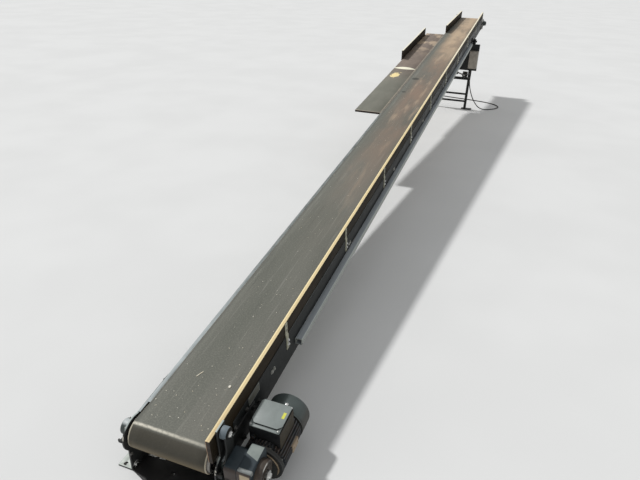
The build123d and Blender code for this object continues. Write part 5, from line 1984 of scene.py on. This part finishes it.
# The lead's boot and plug
PLUG_BODY_Z = 25.3
PLUG_NECK_LENGTH = 26
PLUG_HOLLOW = 56
PIN_CIRCLE = 11
PLUG_TAPER = ((0, 8.2), (0.8, 9), (7, 9.6), (8, 9.0), (14, 13), (22, 21), (PLUG_NECK_LENGTH, 24.2))


def make_boot():
    """The tapered bend relief under the gland."""
    piece = Piece("lead_boot", WORLD)
    profile = [(5.6, -4), (8.6, -4), (8.4, 0)]
    for ridge in range(6):
        z = 1.5 + ridge * 5
        radius = 8.3 - ridge * 0.35
        profile += [(radius, z), (radius, z + 2.8), (radius - 1.1, z + 3.6), (radius - 1.1, z + 4.4)]
    profile += [(6.2, 33), (5.6, 34)]
    piece.add(turned(profile, 24, close=True), black_plastic, facing(Vector(LEAD_ROUTE[0]) / MM, DOWN))
    return piece.done("black_plastic", sharp=35)


def make_plug():
    """The mains plug: boot, ribbed grip, collar and its pins within their shroud."""
    piece = Piece("plug_made", WORLD)
    low, high = span("mains_plug", WORLD)
    x = middle(low, high)[0]
    neck_z = PLUG_NECK.z / MM
    rings = []
    for y, radius in PLUG_TAPER:
        rise = smooth(y / PLUG_NECK_LENGTH) * (PLUG_BODY_Z - neck_z)
        rings.append([(radius * c, y, rise + radius * s) for c, s in around(32)])
    piece.add(loft(rings), black_plastic, Matrix.Translation((x, low.y, neck_z)))
    place = facing((x, low.y + PLUG_NECK_LENGTH, PLUG_BODY_Z), LEFT)
    rest = high.y - low.y - PLUG_NECK_LENGTH
    grip = [(0, 0), (23.5, 0), (24.6, 1.2)]
    for ridge in range(7):
        z = 4 + ridge * 5.2
        grip += [(24.9, z), (24.9, z + 3.2), (23.9, z + 3.8), (23.9, z + 4.8)]
    grip += [(24.9, 43), (24.9, 48), (22.6, 49), (22.6, rest - 1), (22, rest), (19.8, rest)]
    grip += [(19.8, PLUG_HOLLOW), (0, PLUG_HOLLOW)]
    piece.add(turned(grip, 48), black_plastic, place)
    for angle in (math.pi / 2, math.pi * 7 / 6, math.pi * 11 / 6):
        pin = turned(((2.5, 0), (2.5, rest - 60), (1.6, rest - 58), (0, rest - 58)), 14)
        spot = (PIN_CIRCLE * math.cos(angle), PIN_CIRCLE * math.sin(angle), PLUG_HOLLOW)
        piece.add(pin, zinc, place @ Matrix.Translation(spot))
    piece.add(slab((-3, 22.0, 49), (3, 24.6, rest - 4), 0.5), black_plastic, place)
    return piece.done("black_plastic", "mains_plug", sharp=35)


# Surroundings
SUN_HEADING = math.radians(78)
SUN_HEIGHT = math.radians(52)
SUN_LEVEL = Vector((math.cos(SUN_HEADING), math.sin(SUN_HEADING), 0))
SUN_WAY = math.cos(SUN_HEIGHT) * SUN_LEVEL + math.sin(SUN_HEIGHT) * UP
SUN_STRENGTH = 2.3
SUN_SOFTNESS = math.radians(4)
SKY_COLOUR = (0.97, 0.985, 1.0, 1.0)
SKY_STRENGTH = 0.52
FLOOR_REACH = 90


def make_surroundings():
    """The floor, the sun from the left and the even sky."""
    mesh = bpy.data.meshes.new("floor")
    corners = [(x * FLOOR_REACH, y * FLOOR_REACH, 0) for x, y in ((-1, -1), (1, -1), (1, 1), (-1, 1))]
    mesh.from_pydata(corners, [], [(0, 1, 2, 3)])
    mesh.materials.append(floor_finish())
    floor = bpy.data.objects.new("floor", mesh)
    bpy.context.scene.collection.objects.link(floor)
    light = bpy.data.lights.new("sun", "SUN")
    light.energy = SUN_STRENGTH
    light.angle = SUN_SOFTNESS
    sun = bpy.data.objects.new("sun", light)
    sun.rotation_euler = SUN_WAY.to_track_quat("Z", "Y").to_euler()
    bpy.context.scene.collection.objects.link(sun)
    sky = bpy.data.worlds.new("sky")
    sky.use_nodes = True
    shade = sky.node_tree.nodes["Background"]
    shade.inputs["Color"].default_value = SKY_COLOUR
    shade.inputs["Strength"].default_value = SKY_STRENGTH
    bpy.context.scene.world = sky


make_camera()
lead = make_lead(lead_rubber)
boot = make_boot()
plug = make_plug()

make_belt()
make_crumbs()
make_side_board()
make_straps()
make_side_table()
make_table_board()
make_head_board()
dress("board_holders", frame_paint, extra=holder_fasteners)
dress("wing_arms", frame_paint, extra=arm_details)
make_right_member()
make_left_member()
make_rails()
dress("slider_bed", frame_paint, width=0.3)
dress("cross_members", frame_paint, width=1.0, extra=member_details)
dress("tail_plate_left", plate_paint_and_light, width=0.8, extra=tail_details(1))
dress("tail_plate_right", plate_paint_and_light, width=0.8, extra=tail_details(-1))
dress("head_plates", frame_paint, width=0.8, extra=head_details)
dress("base_plate", base_paint, width=0.8, extra=base_details)
make_bearings()
make_take_up()
make_drum("drive_drum")
make_drum("head_drum")
make_drive_bolt()
for number, roller_x in enumerate(ROLLER_PLACES):
    make_roller(number + 1, roller_x)
dress("roller_plates", frame_paint, width=0.6, extra=plate_details)
make_gearbox()
make_motor()
make_cowl()
make_terminal_box()
make_terminal_lid()
make_torque_arm()
make_bush()
make_blank_plate()
dress("stand_pivots", frame_paint, width=0.8, extra=pivot_details)
make_outer_legs()
make_inner_legs()
dress("stand_crossbar", leg_paint, width=1.5, body="stand", axes=WORLD, extra=bar_welds("stand_crossbar"))
dress("inner_ties", leg_paint, width=1.5, body="stand_legs", axes=WORLD, extra=bar_welds("inner_ties"))
make_winch()
make_crank()
dress("box_hanger", frame_paint, axes=WORLD, extra=hanger_bolts)
make_control_box()
make_box_door()
make_glands()
make_surroundings()

bpy.context.scene.view_settings.view_transform = "Standard"
